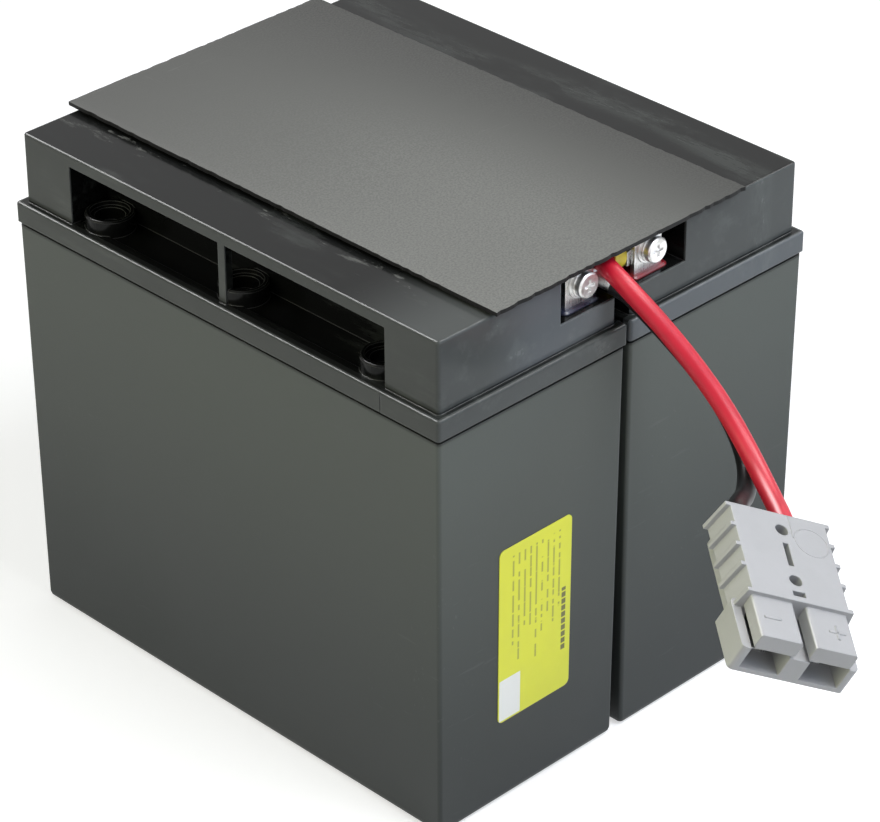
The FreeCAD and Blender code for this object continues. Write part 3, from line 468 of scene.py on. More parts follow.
@dataclass(frozen=True)
class PolishedLid(Finish):
    """Polished lid with smears, a painted wavy reflection, adhesive marks beside the cover sheet, and painted
    light, shade and shadow.
    """

    specular: float = 0.14
    grain_scale: float = 600.0
    grain_depth: float = 0.00001
    grain_strength: float = 0.10
    scuff: float = 0.05
    sheet_left: float = -0.0542
    lid_top: float = 0.167
    shell_side: float = 0.0738
    shell_end: float = 0.0873
    ledge: float = 0.1438
    ledge_reach: Pair = (0.0018, 0.0020)
    rounding: float = 0.0009
    top_skin: Pair = (0.0003, 0.0001)
    inside_shadow: float = 0.08
    crease_width: Pair = (0.0010, 0.0004)
    crease_shadow_share: float = 0.8
    crease_shade: float = 0.1
    lit_shell: Pair = (-0.058, -0.032)
    lit_colour: Colour = (0.107, 0.116, 0.122)
    near_reflection_x: Pair = (0.01, -0.02)
    near_reflection_y: Pair = (-0.045, -0.085)
    near_reflection_gain: float = 1.1
    top_painted_shade: float = 0.12
    smear_lines: Strokes = Strokes(22.0, 0.5, 0.72, 5.0, 0.65, (5.0, 1.0, 5.0), (0.0, 0.0, 0.35))
    smear_patches: Strokes = Strokes(26.0, 0.42, 0.62, rough=0.55)
    smear_and_reflection_colour: Colour = (0.35, 0.39, 0.36)
    smear_and_reflection_share: float = 0.075
    smear_dull: float = 0.12
    reflection_streaks: Strokes = Strokes(30.0, 0.42, 0.62, 6.0, 0.75, (3.0, 0.6, 1.0), (0.0, 0.0, 0.08))
    reflection_x: float = 0.0605
    reflection_width: Pair = (0.008, 0.002)
    reflection_wave: float = 42.0
    reflection_swing: float = 0.004
    glue_lines: Strokes = Strokes(70.0, 0.56, 0.66, 5.0, 0.7, (2.5, 0.7, 1.0), (0.0, 0.0, 0.6))
    glue_reach: float = 0.010
    glue_under: float = 0.001
    glue_skin: float = 0.0004
    glue_colour: Colour = (0.42, 0.43, 0.40)
    glue_share: float = 0.28
    glue_dull: float = 0.35

    def smears_and_reflection(self, graph: Graph) -> Socket:
        """Broad smears over the lid, and one long wavy painted reflection on the right lid.

        Args:
            graph: the material's graph.

        Returns:
            Their mask.
        """
        smears_and_reflection = graph.times(self.smear_lines.mask(graph), self.smear_patches.mask(graph))
        x, y, _ = graph.place()
        # Painted reflection: one long wavy streak on the right lid.
        bend = graph.times(graph.math("SINE", graph.times(y, self.reflection_wave)), self.reflection_swing)
        away = graph.apart(graph.math("ADD", x, bend), self.reflection_x)
        wavy_reflection = graph.times(graph.remap(away, *self.reflection_width), self.reflection_streaks.mask(graph))
        return graph.math("MAXIMUM", smears_and_reflection, wavy_reflection)

    def glue(self, graph: Graph) -> Socket:
        """Thin adhesive marks that run along the sheet's left edge.

        Args:
            graph: the material's graph.

        Returns:
            Their mask.
        """
        x, _, z = graph.place()
        away = graph.math("SUBTRACT", self.sheet_left, x)
        beside = graph.times(graph.remap(away, self.glue_reach, 0.0), graph.above(away, -self.glue_under))
        return graph.times(self.glue_lines.mask(graph), beside, graph.above(z, self.lid_top - self.glue_skin))

    def faces(self, graph: Graph) -> tuple[Socket, Socket]:
        """Tell the lid's outside from its inside.

        Args:
            graph: the material's graph.

        Returns:
            Masks of its outer sides with their rounded upper edge, and of its flat top.
        """
        x, y, z = graph.place()
        sides = graph.math("MAXIMUM", graph.above(graph.math("ABSOLUTE", x), self.shell_side),
                           graph.above(graph.math("ABSOLUTE", y), self.shell_end))
        sides = graph.math("MAXIMUM", sides, graph.above(z, self.lid_top - self.rounding))
        return sides, graph.remap(z, *(self.lid_top - depth for depth in self.top_skin))

    def crease_shadow(self, graph: Graph) -> Socket:
        """Painted shadow in the corner where the shell meets the ledge over the skirt.

        Args:
            graph: the material's graph.

        Returns:
            Its mask.
        """
        x, y, z = graph.place()
        side, end = self.ledge_reach
        within = graph.times(graph.below(graph.math("ABSOLUTE", x), self.shell_side + side),
                             graph.below(graph.math("ABSOLUTE", y), self.shell_end + end))
        return graph.times(within, graph.remap(graph.apart(z, self.ledge), *self.crease_width))

    def lit_front(self, graph: Graph) -> Socket:
        """Painted light on front faces: the left shell beside its well, and the right skirt.

        Args:
            graph: the material's graph.

        Returns:
            Their mask.
        """
        x, y, z = graph.place()
        shell = graph.times(graph.remap(x, *self.lit_shell), graph.below(x, 0.0), graph.above(z, self.ledge))
        skirt = graph.times(graph.above(x, 0.0), graph.below(z, self.ledge))
        return graph.times(graph.math("MAXIMUM", shell, skirt), graph.below(y, -self.shell_end))

    def tint(self, graph: Graph, colour: Socket) -> Socket:
        """Painted shadow inside and in the corner over the ledge, painted light on front faces, painted shade
        on the top and a painted reflection at the front corner; then smears with a painted reflection streak,
        and adhesive marks.

        Args:
            graph: the material's graph.
            colour: the base colour.

        Returns:
            The marked colour.
        """
        sides, top = self.faces(graph)
        # Painted shadow: the lid's inside, its wells and recesses, painted almost black.
        colour = graph.blend(sides, self.shade(self.inside_shadow), colour)
        # Painted light on front faces.
        colour = graph.blend(self.lit_front(graph), colour, self.lit_colour)
        # Painted shadow along the corner over the ledge.
        colour = graph.blend(graph.times(self.crease_shadow(graph), self.crease_shadow_share), colour,
                             self.shade(self.crease_shade))
        x, y, _ = graph.place()
        # Painted reflection: the top is paler at the front corner of the left lid.
        near_reflection = graph.times(graph.remap(y, *self.near_reflection_y), graph.remap(x, *self.near_reflection_x))
        above = graph.blend(near_reflection, self.shade(self.top_painted_shade), self.shade(self.near_reflection_gain))
        # Painted shade on the flat top, paler only at the painted reflection.
        colour = graph.blend(top, colour, above)
        # Smears, with the painted reflection streak, in a paler colour.
        colour = graph.blend(graph.times(self.smears_and_reflection(graph), self.smear_and_reflection_share), colour, self.smear_and_reflection_colour)
        return graph.blend(graph.times(self.glue(graph), self.glue_share), colour, self.glue_colour)

    def gloss(self, graph: Graph, rough: Socket) -> Socket:
        """Duller where it is smeared, along the painted reflection streak, or sticky.

        Args:
            graph: the material's graph.
            rough: the base roughness.

        Returns:
            The changed roughness.
        """
        dull = graph.math("ADD", graph.times(self.smears_and_reflection(graph), self.smear_dull),
                          graph.times(self.glue(graph), self.glue_dull))
        return graph.math("ADD", rough, dull, clamp=True)


@dataclass(frozen=True)
class SheetFilm(Finish):
    """Stiff matte sheet with a painted pool of light, a fine pebbled face and dark cut sides."""

    light_pool_x: Pair = (0.056, -0.012)
    light_pool_y: Pair = (0.13, -0.06)
    light_pool_least: float = 0.15
    outside_pool_shade: float = 0.18
    pebbles: Strokes = Strokes(1500.0, 0.36, 0.64, rough=0.7, full=0.5)
    pebble_shade: float = 0.45
    cut_slope: Pair = (0.75, 0.3)
    cut_colour: Colour = (0.008, 0.008, 0.008)

    def tint(self, graph: Graph, colour: Socket) -> Socket:
        """Painted light: paler in a broad pool at the front left and darker away from it, with a
        salt-and-pepper grain and dark cut sides.

        Args:
            graph: the material's graph.
            colour: the base colour.

        Returns:
            The marked colour.
        """
        x, y, _ = graph.place()
        # Painted light: a broad pool, palest at the front left.
        light_pool = graph.times(graph.remap(x, *self.light_pool_x),
                             graph.remap(y, *self.light_pool_y, self.light_pool_least, 1.0))
        colour = graph.blend(light_pool, self.shade(self.outside_pool_shade), colour)
        colour = graph.blend(self.pebbles.mask(graph), colour, self.shade(self.pebble_shade))
        up = graph.axes(graph.flat_normal())[2]
        return graph.blend(graph.remap(up, *self.cut_slope), colour, self.cut_colour)


@dataclass(frozen=True)
class HousingShell(Finish):
    """Moulded housing, with painted light making it paler and warmer on its left side."""

    left: Triple = (-0.784, 0.481, 0.390)
    left_light_cosines: Pair = (0.6, 0.9)
    left_light_colour: Colour = (0.504, 0.509, 0.475)

    def tint(self, graph: Graph, colour: Socket) -> Socket:
        """Painted light: paler where a face turns to the housing's left."""
        toward_left_light = graph.dot(graph.flat_normal(), self.left)
        return graph.blend(graph.remap(toward_left_light, *self.left_light_cosines), colour, self.left_light_colour)


@dataclass(frozen=True)
class LabelPrint(Finish):
    """Yellow label with plain ruled bars and one bare white patch."""

    left: float = -0.0518
    low: float = 0.0285
    tall: float = 0.0605
    line_inset: float = 0.0046
    line_pitch: float = 0.0024
    line_count: float = 9.0
    line_edge: Pair = (0.17, 0.11)
    line_foot: Pair = (0.017, 0.031)
    line_head: float = 0.0035
    line_colour: Colour = (0.16, 0.17, 0.04)
    line_share: float = 0.62
    break_row: float = 3.7
    break_scale: float = 420.0
    breaks: Pair = (0.42, 0.46)
    bold_box: tuple[float, float, float, float] = (0.0262, 0.0279, 0.0135, 0.0360)
    bold_scale: float = 430.0
    bold_breaks: Pair = (0.20, 0.26)
    bold_colour: Colour = (0.03, 0.03, 0.03)
    bold_share: float = 0.85
    patch_box: tuple[float, float, float, float] = (0.0005, 0.0092, 0.0006, 0.0150)
    patch_colour: Colour = (0.82, 0.82, 0.78)

    def tint(self, graph: Graph, colour: Socket) -> Socket:
        """Thin broken bars that run up the label, a bold short one, and the patch.

        Args:
            graph: the material's graph.
            colour: the base colour.

        Returns:
            The marked colour.
        """
        z = graph.place()[2]
        colour = graph.blend(graph.times(self.bars(graph), self.line_share), colour, self.line_colour)
        broken = graph.remap(graph.math("FRACT", graph.times(z, self.bold_scale)), *self.bold_breaks)
        bold = graph.times(self.box(graph, self.bold_box), broken, self.bold_share)
        colour = graph.blend(bold, colour, self.bold_colour)
        return graph.blend(self.box(graph, self.patch_box), colour, self.patch_colour)

    def bars(self, graph: Graph) -> Socket:
        """Thin bars side by side, broken at random and of uneven length.

        Args:
            graph: the material's graph.

        Returns:
            Their mask.
        """
        x, _, z = graph.place()
        across = graph.math("DIVIDE", graph.math("SUBTRACT", x, self.left + self.line_inset), self.line_pitch)
        row = graph.math("FLOOR", across)
        line = graph.remap(graph.apart(graph.math("FRACT", across), 0.5), *self.line_edge)
        within = graph.times(graph.above(across, 0.0), graph.below(across, self.line_count))
        spot = graph.fill(graph.add("CombineXYZ"), graph.times(row, self.break_row),
                          graph.times(z, self.break_scale))
        broken = graph.remap(graph.noise(1.0, 1.0, 0.5, spot.outputs[0]), *self.breaks)
        ends = graph.fill(graph.add("TexWhiteNoise", noise_dimensions="1D"), W=row)
        foot = graph.remap(ends.outputs["Value"], 0.0, 1.0, *(self.low + foot for foot in self.line_foot))
        span = graph.times(graph.math("GREATER_THAN", z, foot),
                           graph.below(z, self.low + self.tall - self.line_head))
        return graph.times(line, broken, within, span)

    def box(self, graph: Graph, sides: Sequence[float]) -> Socket:
        """Upright rectangle on the label.

        Args:
            graph: the material's graph.
            sides: its left, right, low and high sides, from the label's lower left corner.

        Returns:
            Its mask.
        """
        x, _, z = graph.place()
        left, right, low, high = sides
        return graph.times(graph.above(x, self.left + left), graph.below(x, self.left + right),
                           graph.above(z, self.low + low), graph.below(z, self.low + high))


@dataclass(frozen=True)
class PlatedMetal(Finish):
    """Plated metal with fine brushed lines and tarnish in patches."""

    metallic: float = 1.0
    cloud_scale: float = 120.0
    tarnish: Colour = (0.42, 0.40, 0.36)
    tarnish_patches: Strokes = Strokes(240.0, 0.52, 0.72, 3.0, 0.55, full=0.6)
    brush_lines: Strokes = Strokes(900.0, 0.3, 0.7, stretch=(6.0, 1.0, 0.6), rest=-0.06, full=0.10)

    def tint(self, graph: Graph, colour: Socket) -> Socket:
        """Dull patches in the plating."""
        return graph.blend(self.tarnish_patches.mask(graph), colour, self.tarnish)

    def gloss(self, graph: Graph, rough: Socket) -> Socket:
        """Brushed lines vary the gloss."""
        return graph.math("ADD", rough, self.brush_lines.mask(graph), clamp=True)


SEAL = {"coat": 0.25, "grain_scale": 300.0, "grain_depth": 0.0002, "grain_strength": 0.3,
        "cloud_scale": 120.0, "cloud_share": 0.3}
JACKET = {"grain_scale": 700.0, "grain_depth": 0.00002, "grain_strength": 0.2, "cloud_scale": 70.0,
          "edge_radius": 0.0001, "edge_highlight": 0.0, "scuff": 0.12}
FINISHES: tuple[Finish, ...] = (
    MouldedCase(Slot.CASE, (0.074, 0.083, 0.074), 0.48, specular=0.30, grain_scale=1900.0,
                grain_depth=0.00005, grain_strength=0.5, cloud_scale=9.0, cloud_share=0.07, edge_highlight=0.08,
                scuff=0.06),
    PolishedLid(Slot.LID, (0.067, 0.072, 0.070), 0.16, cloud_scale=14.0, cloud_share=0.10,
                edge_radius=0.0005, edge_highlight=0.22),
    PolishedLid(Slot.STRIP, (0.067, 0.072, 0.070), 0.17, edge_highlight=0.16),
    Finish(Slot.PLATES, (0.30, 0.31, 0.33), 0.6, metallic=0.7, grain_scale=900.0, cloud_scale=60.0,
           cloud_share=0.2),
    Finish(Slot.VALVE, (0.03, 0.03, 0.03), 0.75, grain_scale=1200.0, cloud_scale=90.0),
    Finish(Slot.FOAM, (0.80, 0.80, 0.76), 0.9, grain_scale=1400.0, grain_depth=0.0002, grain_strength=0.6),
    PlatedMetal(Slot.FLAG, (0.80, 0.80, 0.79), 0.30, edge_highlight=0.1, scuff=0.3),
    Finish(Slot.SEAL_DARK, (0.022, 0.026, 0.050), 0.28, **SEAL),
    Finish(Slot.SEAL_RED, (0.20, 0.010, 0.016), 0.30, **SEAL),
    PlatedMetal(Slot.STEEL, (0.86, 0.86, 0.85), 0.36, cloud_scale=160.0, edge_radius=0.0003, edge_highlight=0.1,
                scuff=0.3),
    PlatedMetal(Slot.LUG, (0.74, 0.74, 0.73), 0.34, edge_highlight=0.1),
    Finish(Slot.SLEEVE, (0.80, 0.62, 0.05), 0.42, grain_scale=900.0, cloud_scale=150.0, cloud_share=0.1),
    SheetFilm(Slot.SHEET, (0.162, 0.164, 0.152), 0.60, specular=0.2, grain_scale=1500.0, grain_depth=0.00012,
              grain_strength=0.55, cloud_scale=11.0, cloud_share=0.05, edge_radius=0.0002, edge_highlight=0.0,
              scuff=0.06),
    LabelPrint(Slot.LABEL, (0.71, 0.72, 0.036), 0.40, grain_scale=700.0, grain_depth=0.00001,
               grain_strength=0.1, cloud_scale=40.0, cloud_share=0.03, edge_highlight=0.1, scuff=0.04),
    HousingShell(Slot.CONNECTOR, (0.368, 0.366, 0.372), 0.50, grain_scale=1300.0, grain_depth=0.00006,
                 grain_strength=0.45, cloud_scale=60.0, cloud_share=0.04, edge_radius=0.0005,
                 edge_highlight=0.40, scuff=0.08),
    PlatedMetal(Slot.CONTACT, (0.86, 0.84, 0.80), 0.22),
    PlatedMetal(Slot.SPRING, (0.62, 0.62, 0.62), 0.30),
    Finish(Slot.RED_LEAD, (0.60, 0.011, 0.033), 0.38, specular=0.4, cloud_share=0.08, **JACKET),
    Finish(Slot.BLACK_LEAD, (0.008, 0.008, 0.009), 0.36, specular=0.22, cloud_share=0.1, **JACKET),
)


class Palette:
    """Every finish as a material, made once."""

    def __init__(self) -> None:
        """Build all materials."""
        self.materials = {finish.slot: finish.build() for finish in FINISHES}

    def dress(self, piece: bpy.types.Object, slot: Slot) -> None:
        """Give a piece its finish.

        Args:
            piece: a CAD node's object or a new one.
            slot: the finish.
        """
        piece.data.materials.clear()
        piece.data.materials.append(self.materials[slot])

    def dress_nodes(self, slots: dict[str, Slot]) -> list[str]:
        """Give CAD nodes their finishes.

        Args:
            slots: the finish of each node, by the node's name.

        Returns:
            The nodes' names.
        """
        for node, slot in slots.items():
            self.dress(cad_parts[node], slot)
        return list(slots)


# ---- sub-assemblies ----


@dataclass
class Leads:
    """The red and black leads, hanging from the front terminals to the connector."""

    palette: Palette
    diameter: float = 5.8 * MM
    red_length: float = 0.1235
    black_length: float = 0.1137
    red_route: tuple[Triple, ...] = (
        (0.003603, -0.0792, 0.159611), (0.000203, -0.0792, 0.160611), (-0.0029, -0.0804, 0.1625),
        (-0.0049, -0.0832, 0.1634), (-0.006, -0.0876, 0.1628), (-0.0064, -0.0954, 0.1596),
        (-0.0036, -0.1046, 0.1516), (0.0004, -0.1146, 0.1404), (0.0024, -0.1254, 0.1292),
        (0.001, -0.136, 0.1202), (-0.0036, -0.1474, 0.1146), (-0.01128, -0.16099, 0.11201),
        (-0.01915, -0.17143, 0.10907),
    )
    black_route: tuple[Triple, ...] = (
        (-0.003399, -0.086602, 0.1562), (-0.002175, -0.090138, 0.155248), (-0.0009, -0.096, 0.1516),
        (0.0014, -0.1036, 0.145), (0.0052, -0.1118, 0.1356), (0.0074, -0.1216, 0.125),
        (0.0054, -0.1318, 0.1144), (-0.0048, -0.1408, 0.1104), (-0.018, -0.148, 0.1164),
        (-0.0261, -0.15508, 0.11796), (-0.03233, -0.16334, 0.11564),
    )

    def tube(self, name: str, route: Sequence[Sequence[float]], slot: Slot) -> bpy.types.Object:
        """One lead as a smooth round curve.

        Args:
            name: the piece's name, also its CAD node's with "_lead".
            route: control points, in metres.
            slot: the jacket's finish.

        Returns:
            The curve object.
        """
        curve = bpy.data.curves.new(name + "_jacket", "CURVE")
        curve.dimensions = "3D"
        curve.bevel_depth = self.diameter / 2.0
        curve.bevel_resolution = 8
        curve.resolution_u = 24
        curve.use_fill_caps = True
        spline = curve.splines.new("NURBS")
        spline.points.add(len(route) - 1)
        for point, place in zip(spline.points, route):
            point.co = (*place, 1.0)
        spline.order_u = 3
        spline.use_endpoint_u = True
        spline.use_smooth = True
        piece = bpy.data.objects.new(name + "_jacket", curve)
        bpy.context.scene.collection.objects.link(piece)
        self.palette.dress(piece, slot)
        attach(piece, "root")
        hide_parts(name + "_lead")
        return piece

    def build(self) -> list[str]:
        """Build both leads.

        Returns:
            Names of the new pieces.
        """
        names = []
        for name, route, length, slot, held in (
            ("red", self.red_route, self.red_length, Slot.RED_LEAD, ["connector_housing"]),
            ("black", self.black_route, self.black_length, Slot.BLACK_LEAD, []),
        ):
            piece = self.tube(name, route, slot)
            names.append(piece.name)
        return names


@dataclass
class Batteries:
    """Cases, lids, vent strips and what is sealed in them, on their CAD nodes."""

    palette: Palette
    cells: int = 6

    def build(self) -> list[str]:
        """Dress the CAD nodes of both batteries.

        Returns:
            Names of the nodes.
        """
        dressed: dict[str, Slot] = {}
        for side in ("left", "right"):
            dressed[side + "_case"] = Slot.CASE
            dressed[side + "_lid"] = Slot.LID
            dressed[side + "_vent_strip"] = Slot.STRIP
            dressed[side + "_tape"] = Slot.FOAM
            for cell in range(1, self.cells + 1):
                dressed[f"{side}_cell_pack_{cell}"] = Slot.PLATES
                dressed[f"{side}_valve_cap_{cell}"] = Slot.VALVE
        dressed["centre_pad"] = Slot.FOAM
        dressed["front_label"] = Slot.LABEL
        return self.palette.dress_nodes(dressed)


@dataclass
class Terminals:
    """Flags, sealing compound, fasteners, lugs and the link bar, on their CAD nodes."""

    palette: Palette

    def build(self) -> list[str]:
        """Dress the CAD nodes of the terminals.

        Returns:
            Names of the nodes.
        """
        dressed = {
            "left_front_seal": Slot.SEAL_DARK, "right_rear_seal": Slot.SEAL_DARK,
            "left_rear_seal": Slot.SEAL_RED, "right_front_seal": Slot.SEAL_RED,
            "black_lug": Slot.LUG, "red_lug": Slot.LUG, "link_bar": Slot.LUG, "yellow_sleeve": Slot.SLEEVE,
        }
        for kind in ("terminal_bolts", "spring_washers", "flat_washers", "terminal_nuts"):
            dressed[kind] = Slot.STEEL
        for side in ("left", "right"):
            for end in ("front", "rear"):
                dressed[f"{side}_{end}_terminal"] = Slot.FLAG
        return self.palette.dress_nodes(dressed)


@dataclass
class CoverSheet:
    """Stiff sheet over both lids, a little uneven, with ragged cut edges."""

    palette: Palette
    across: int = 60
    along: int = 104
    ragged: float = 0.35 * MM
    front_ragged: float = 1.6
    wave: float = 0.22 * MM
    waves_across: float = 7.0
    waves_along: float = 9.0
    wave_lean: float = 2.0
    wave_start: float = 6.28
    rim_drop: float = 0.12 * MM
    seed: int = 7

    def dip(self, u: float, v: float, starts: Sequence[float]) -> float:
        """How far the top face lies under the flat sheet's top, at most the wave's height.

        Args:
            u: share of the way across, from the left.
            v: share of the way along, from the front.
            starts: where each of the two waves starts, in radians.

        Returns:
            The depth in metres.
        """
        first = math.sin(self.waves_across * u + starts[0] + self.wave_lean * v)
        second = math.sin(self.waves_along * v + starts[1])
        return self.wave * (2.0 + first + second) / 4.0

    def layers(self, mesh: bmesh.types.BMesh) -> list[list[list[bmesh.types.BMVert]]]:
        """Add the vertices of the underside and the top.

        Args:
            mesh: the sheet's mesh.

        Returns:
            The two layers, each as rows from front to back.
        """
        low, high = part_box("cover_sheet")
        chance = random.Random(self.seed)
        count = self.across + self.along + 2
        left, right, front, back = [[chance.random() ** 3 * self.ragged for _ in range(count)]
                                    for _ in range(4)]
        starts = [chance.uniform(0.0, self.wave_start) for _ in range(2)]
        layers = []
        for top in (False, True):
            rows = []
            for j in range(self.along + 1):
                row = []
                for i in range(self.across + 1):
                    u, v = i / self.across, j / self.along
                    x = low.x + (high.x - low.x) * u
                    y = low.y + (high.y - low.y) * v
                    z = high.z - self.dip(u, v, starts) if top else low.z
                    if i == 0:
                        x += left[j]
                    if i == self.across:
                        x -= right[j]
                    if j == 0:
                        y += front[i] * self.front_ragged
                    if j == self.along:
                        y -= back[i]
                    if top and (i in (0, self.across) or j in (0, self.along)):
                        z -= self.rim_drop
                    row.append(mesh.verts.new((x, y, z)))
                rows.append(row)
            layers.append(rows)
        return layers

    def build(self) -> list[str]:
        """Build the sheet in place of its plain CAD node.

        Returns:
            Name of the new piece.
        """
        mesh = bmesh.new()
        bottom, upper = self.layers(mesh)
        for j in range(self.along):
            for i in range(self.across):
                mesh.faces.new((upper[j][i], upper[j][i + 1], upper[j + 1][i + 1], upper[j + 1][i]))
                mesh.faces.new((bottom[j + 1][i], bottom[j + 1][i + 1], bottom[j][i + 1], bottom[j][i]))
        for i in range(self.across):
            mesh.faces.new((bottom[0][i], bottom[0][i + 1], upper[0][i + 1], upper[0][i]))
            mesh.faces.new((upper[-1][i], upper[-1][i + 1], bottom[-1][i + 1], bottom[-1][i]))
        for j in range(self.along):
            mesh.faces.new((upper[j][0], upper[j + 1][0], bottom[j + 1][0], bottom[j][0]))
            mesh.faces.new((bottom[j][-1], bottom[j + 1][-1], upper[j + 1][-1], upper[j][-1]))
        piece = new_piece("stiff_sheet", mesh)
        self.palette.dress(piece, Slot.SHEET)
        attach(piece, "root")
        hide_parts("cover_sheet")
        return [piece.name]


@dataclass
class Connector:
    """Two-pole connector: the moulded housing with its polarity signs and mould marks."""

    palette: Palette
    at: Triple = (-0.0189, -0.1635, 0.1213)
    heading: float = -37.0
    dip: float = 12.65
    roll: float = 23.6
    minus_at: Triple = (-10.0 * MM, -41.0 * MM, -1.2 * MM)
    plus_at: Triple = (10.0 * MM, -41.0 * MM, -1.2 * MM)
    sign_size: Triple = (5.4 * MM, 0.9 * MM, 0.22 * MM)
    bar_taper: float = 0.82
    bar_foot: float = 0.42
    bar_round: float = 0.25
    ring_at: Triple = (8.9 * MM, -9.0 * MM, 0.0)
    ring_radius: float = 5.2 * MM
    ring_width: float = 0.35 * MM
    ring_crown: float = 0.4
    ring_rise: float = 0.09 * MM
    ring_sink: float = 0.1 * MM
    ring_steps: int = 48
    line_at: Triple = (3.2 * MM, -4.6 * MM, 0.0)
    line_size: Triple = (0.5 * MM, 8.2 * MM, 0.14 * MM)

    def pose(self) -> Matrix:
        """Place and turn of the connector's own frame.

        Returns:
            The frame as a matrix.
        """
        turn = Matrix.Rotation(math.radians(self.heading), 4, "Z")
        turn = turn @ Matrix.Rotation(math.radians(self.dip), 4, "X")
        turn = turn @ Matrix.Rotation(math.radians(self.roll), 4, "Y")
        return Matrix.Translation(self.at) @ turn

    def bar(self, mesh: bmesh.types.BMesh, centre: Sequence[float], size: Sequence[float]) -> None:
        """Low raised bar with softened edges.

        Args:
            mesh: mesh to add it to.
            centre: middle of its foot, in the connector's frame.
            size: its width, length and rise.
        """
        wide, deep, rise = size
        made = bmesh.ops.create_cube(mesh, size=1.0)["verts"]
        for vert in made:
            taper = self.bar_taper if vert.co.z > 0 else 1.0
            corner = (vert.co.x * wide * taper, vert.co.y * deep * taper, (vert.co.z + self.bar_foot) * rise)
            vert.co = Vector(corner) + Vector(centre)
        edges = [edge for edge in mesh.edges if all(vert in made for vert in edge.verts)]
        bmesh.ops.bevel(mesh, geom=edges, offset=rise * self.bar_round, segments=2, affect="EDGES",
                         profile=0.6)

    def ring(self, mesh: bmesh.types.BMesh) -> None:
        """Low raised ring left by the mould.

        Args:
            mesh: mesh to add it to.
        """
        crown = self.ring_width * self.ring_crown
        loops = []
        for reach, z in ((-self.ring_width, -self.ring_sink), (-crown, self.ring_rise),
                         (crown, self.ring_rise), (self.ring_width, -self.ring_sink)):
            radius = self.ring_radius + reach
            angles = [2.0 * math.pi * step / self.ring_steps for step in range(self.ring_steps)]
            loops.append([mesh.verts.new(Vector(self.ring_at)
                                         + Vector((radius * math.cos(a), radius * math.sin(a), z)))
                          for a in angles])
        for first, second in zip(loops, loops[1:] + loops[:1]):
            for i in range(self.ring_steps):
                j = (i + 1) % self.ring_steps
                mesh.faces.new((first[i], first[j], second[j], second[i]))

    def build(self) -> list[str]:
        """Dress the CAD nodes and add the signs and marks.

        Returns:
            Names of the nodes and pieces.
        """
        dressed = {"connector_housing": Slot.CONNECTOR}
        for pole in ("red", "black"):
            dressed[pole + "_contact"] = Slot.CONTACT
            dressed[pole + "_contact_spring"] = Slot.SPRING
        names = self.palette.dress_nodes(dressed)
        length, width, rise = self.sign_size
        signs = bmesh.new()
        self.bar(signs, self.minus_at, self.sign_size)
        self.bar(signs, self.plus_at, self.sign_size)
        self.bar(signs, self.plus_at, (width, length, rise))
        marks = bmesh.new()
        self.ring(marks)
        self.bar(marks, self.line_at, self.line_size)
        for name, mesh in (("polarity_signs", signs), ("mould_marks", marks)):
            piece = new_piece(name, mesh)
            piece.data.transform(self.pose())
            self.palette.dress(piece, Slot.CONNECTOR)
            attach(piece, "root")
            names.append(piece.name)
        return names


def new_piece(name: str, mesh: bmesh.types.BMesh) -> bpy.types.Object:
    """Turn a finished mesh into an object of the scene.

    Args:
        name: the piece's name.
        mesh: its mesh, which is freed.

    Returns:
        The object.
    """
    bmesh.ops.recalc_face_normals(mesh, faces=mesh.faces)
    data = bpy.data.meshes.new(name)
    mesh.to_mesh(data)
    mesh.free()
    piece = bpy.data.objects.new(name, data)
    bpy.context.scene.collection.objects.link(piece)
    return piece


# ---- studio ----


@dataclass(frozen=True)
class Lamp:
    """One soft square light."""

    name: str
    at: Triple
    aim: Triple
    size: float
    power: float
    colour: Colour = (1.0, 1.0, 1.0)
    gloss_only: bool = False

    def build(self) -> None:
        """Add the light. One that is for gloss only shows in glossy faces and lights nothing else."""
        data = bpy.data.lights.new(self.name, "AREA")
        data.shape = "SQUARE"
        data.size = self.size
        data.energy = self.power
        data.color = self.colour
        light = bpy.data.objects.new(self.name, data)
        light.location = self.at
        light.visible_diffuse = not self.gloss_only
        light.rotation_euler = (Vector(self.aim) - Vector(self.at)).to_track_quat("-Z", "Y").to_euler()
        bpy.context.scene.collection.objects.link(light)


LAMPS: tuple[Lamp, ...] = (
    Lamp("key", (0.10, -0.55, 0.98), (-0.02, -0.05, 0.15), 0.5, 6.5),
    Lamp("left_side", (-1.5, 0.3, 0.9), (0.0, 0.0, 0.1), 1.0, 6.8, (1.0, 0.99, 0.62)),
    Lamp("front_side", (0.7, -1.5, 0.9), (0.0, 0.0, 0.1), 1.8, 12.5, (0.62, 0.76, 1.0)),
    Lamp("left_edge_card", (-0.23, 1.24, 1.78), (-0.07, 0.0, 0.16), 1.35, 140.0, gloss_only=True),
    Lamp("front_edge_card", (1.2, -0.4, 1.75), (-0.04, -0.08, 0.16), 0.9, 30.0, gloss_only=True),
)


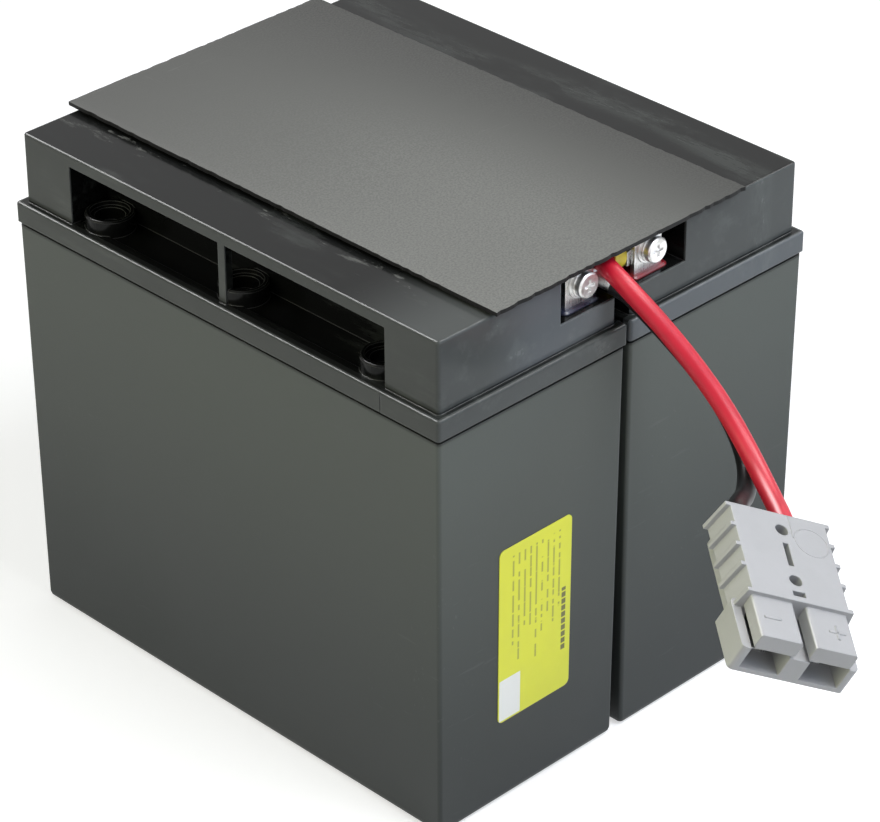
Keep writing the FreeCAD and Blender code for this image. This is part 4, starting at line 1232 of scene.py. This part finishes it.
@dataclass
class Studio:
    """Camera, soft lights, pale floor and white surroundings."""

    eye: Triple = (-0.699106, -0.719406, 0.689563)
    azimuth: float = -44.726
    elevation: float = 31.486
    roll: float = -0.227
    lens: float = 155.86
    sensor: float = 36.0
    clip: Pair = (0.05, 100.0)
    sky_colour: Colour = (0.95, 0.97, 1.0)
    sky_strength: float = 0.42
    seen_colour: Colour = (1.0, 1.0, 1.0)
    seen_strength: float = 1.0
    floor_size: float = 30.0
    floor_drop: float = 0.2 * MM
    floor_colour: Colour = (0.70, 0.70, 0.70)
    floor_glow: float = 0.55

    def camera(self) -> None:
        """Create the camera at its viewing angle."""
        a, e, r = (math.radians(v) for v in (self.azimuth, self.elevation, self.roll))
        back = Vector((math.sin(a) * math.cos(e), -math.cos(a) * math.cos(e), math.sin(e)))
        right = Vector((math.cos(a), math.sin(a), 0.0))
        up = back.cross(right)
        right, up = right * math.cos(r) + up * math.sin(r), up * math.cos(r) - right * math.sin(r)
        lens = bpy.data.cameras.new("camera")
        lens.lens = self.lens
        lens.sensor_width = self.sensor
        lens.clip_start, lens.clip_end = self.clip
        body = bpy.data.objects.new("camera", lens)
        body.matrix_world = Matrix.Translation(self.eye) @ Matrix((right, up, back)).transposed().to_4x4()
        bpy.context.scene.collection.objects.link(body)
        bpy.context.scene.camera = body

    @staticmethod
    def seen(graph: Graph) -> Socket:
        """1 for rays that see the surroundings, direct or in gloss and glass.

        Args:
            graph: the graph of the world or a material.

        Returns:
            The mask's socket.
        """
        path = graph.add("LightPath")
        seen = graph.math("MAXIMUM", path.outputs["Is Camera Ray"], path.outputs["Is Glossy Ray"])
        return graph.math("MAXIMUM", seen, path.outputs["Is Transmission Ray"])

    def surroundings(self) -> None:
        """White surroundings as seen, and dimmer ones that light the part."""
        world = bpy.data.worlds.new("surroundings")
        bpy.context.scene.world = world
        world.use_nodes = True
        world.node_tree.nodes.clear()
        graph = Graph(world.node_tree)
        sky, seen = (graph.fill(graph.add("Background"), colour, strength).outputs[0]
                     for colour, strength in ((self.sky_colour, self.sky_strength),
                                              (self.seen_colour, self.seen_strength)))
        mix = graph.fill(graph.add("MixShader"), self.seen(graph), sky, seen)
        graph.fill(graph.add("OutputWorld"), mix.outputs[0])

    def floor(self) -> None:
        """Pale floor that keeps the shadow and is nearly white to the camera."""
        mesh = bmesh.new()
        bmesh.ops.create_grid(mesh, x_segments=1, y_segments=1, size=self.floor_size / 2.0)
        floor = new_piece("floor", mesh)
        floor.location.z = -self.floor_drop
        material = bpy.data.materials.new("pale_floor")
        material.use_nodes = True
        material.node_tree.nodes.clear()
        graph = Graph(material.node_tree)
        matte = graph.fill(graph.add("BsdfDiffuse"), self.floor_colour)
        glow = graph.fill(graph.add("Emission"), Strength=graph.times(self.seen(graph), self.floor_glow))
        both = graph.fill(graph.add("AddShader"), matte.outputs[0], glow.outputs[0])
        graph.fill(graph.add("OutputMaterial"), both.outputs[0])
        floor.data.materials.append(material)

    def build(self) -> None:
        """Build the whole studio."""
        self.camera()
        for lamp in LAMPS:
            lamp.build()
        self.surroundings()
        self.floor()
        bpy.context.scene.view_settings.view_transform = "Standard"


def main() -> None:
    """Build every class in order and report each piece."""
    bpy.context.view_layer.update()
    palette = Palette()
    Studio().build()
    for kind in (Leads, Batteries, Terminals, CoverSheet, Connector):
        for name in kind(palette).build():
            LOG.info("%s: %s", kind.__name__, name)


if __name__ == "__main__":
    logging.basicConfig(level=logging.INFO)
    main()
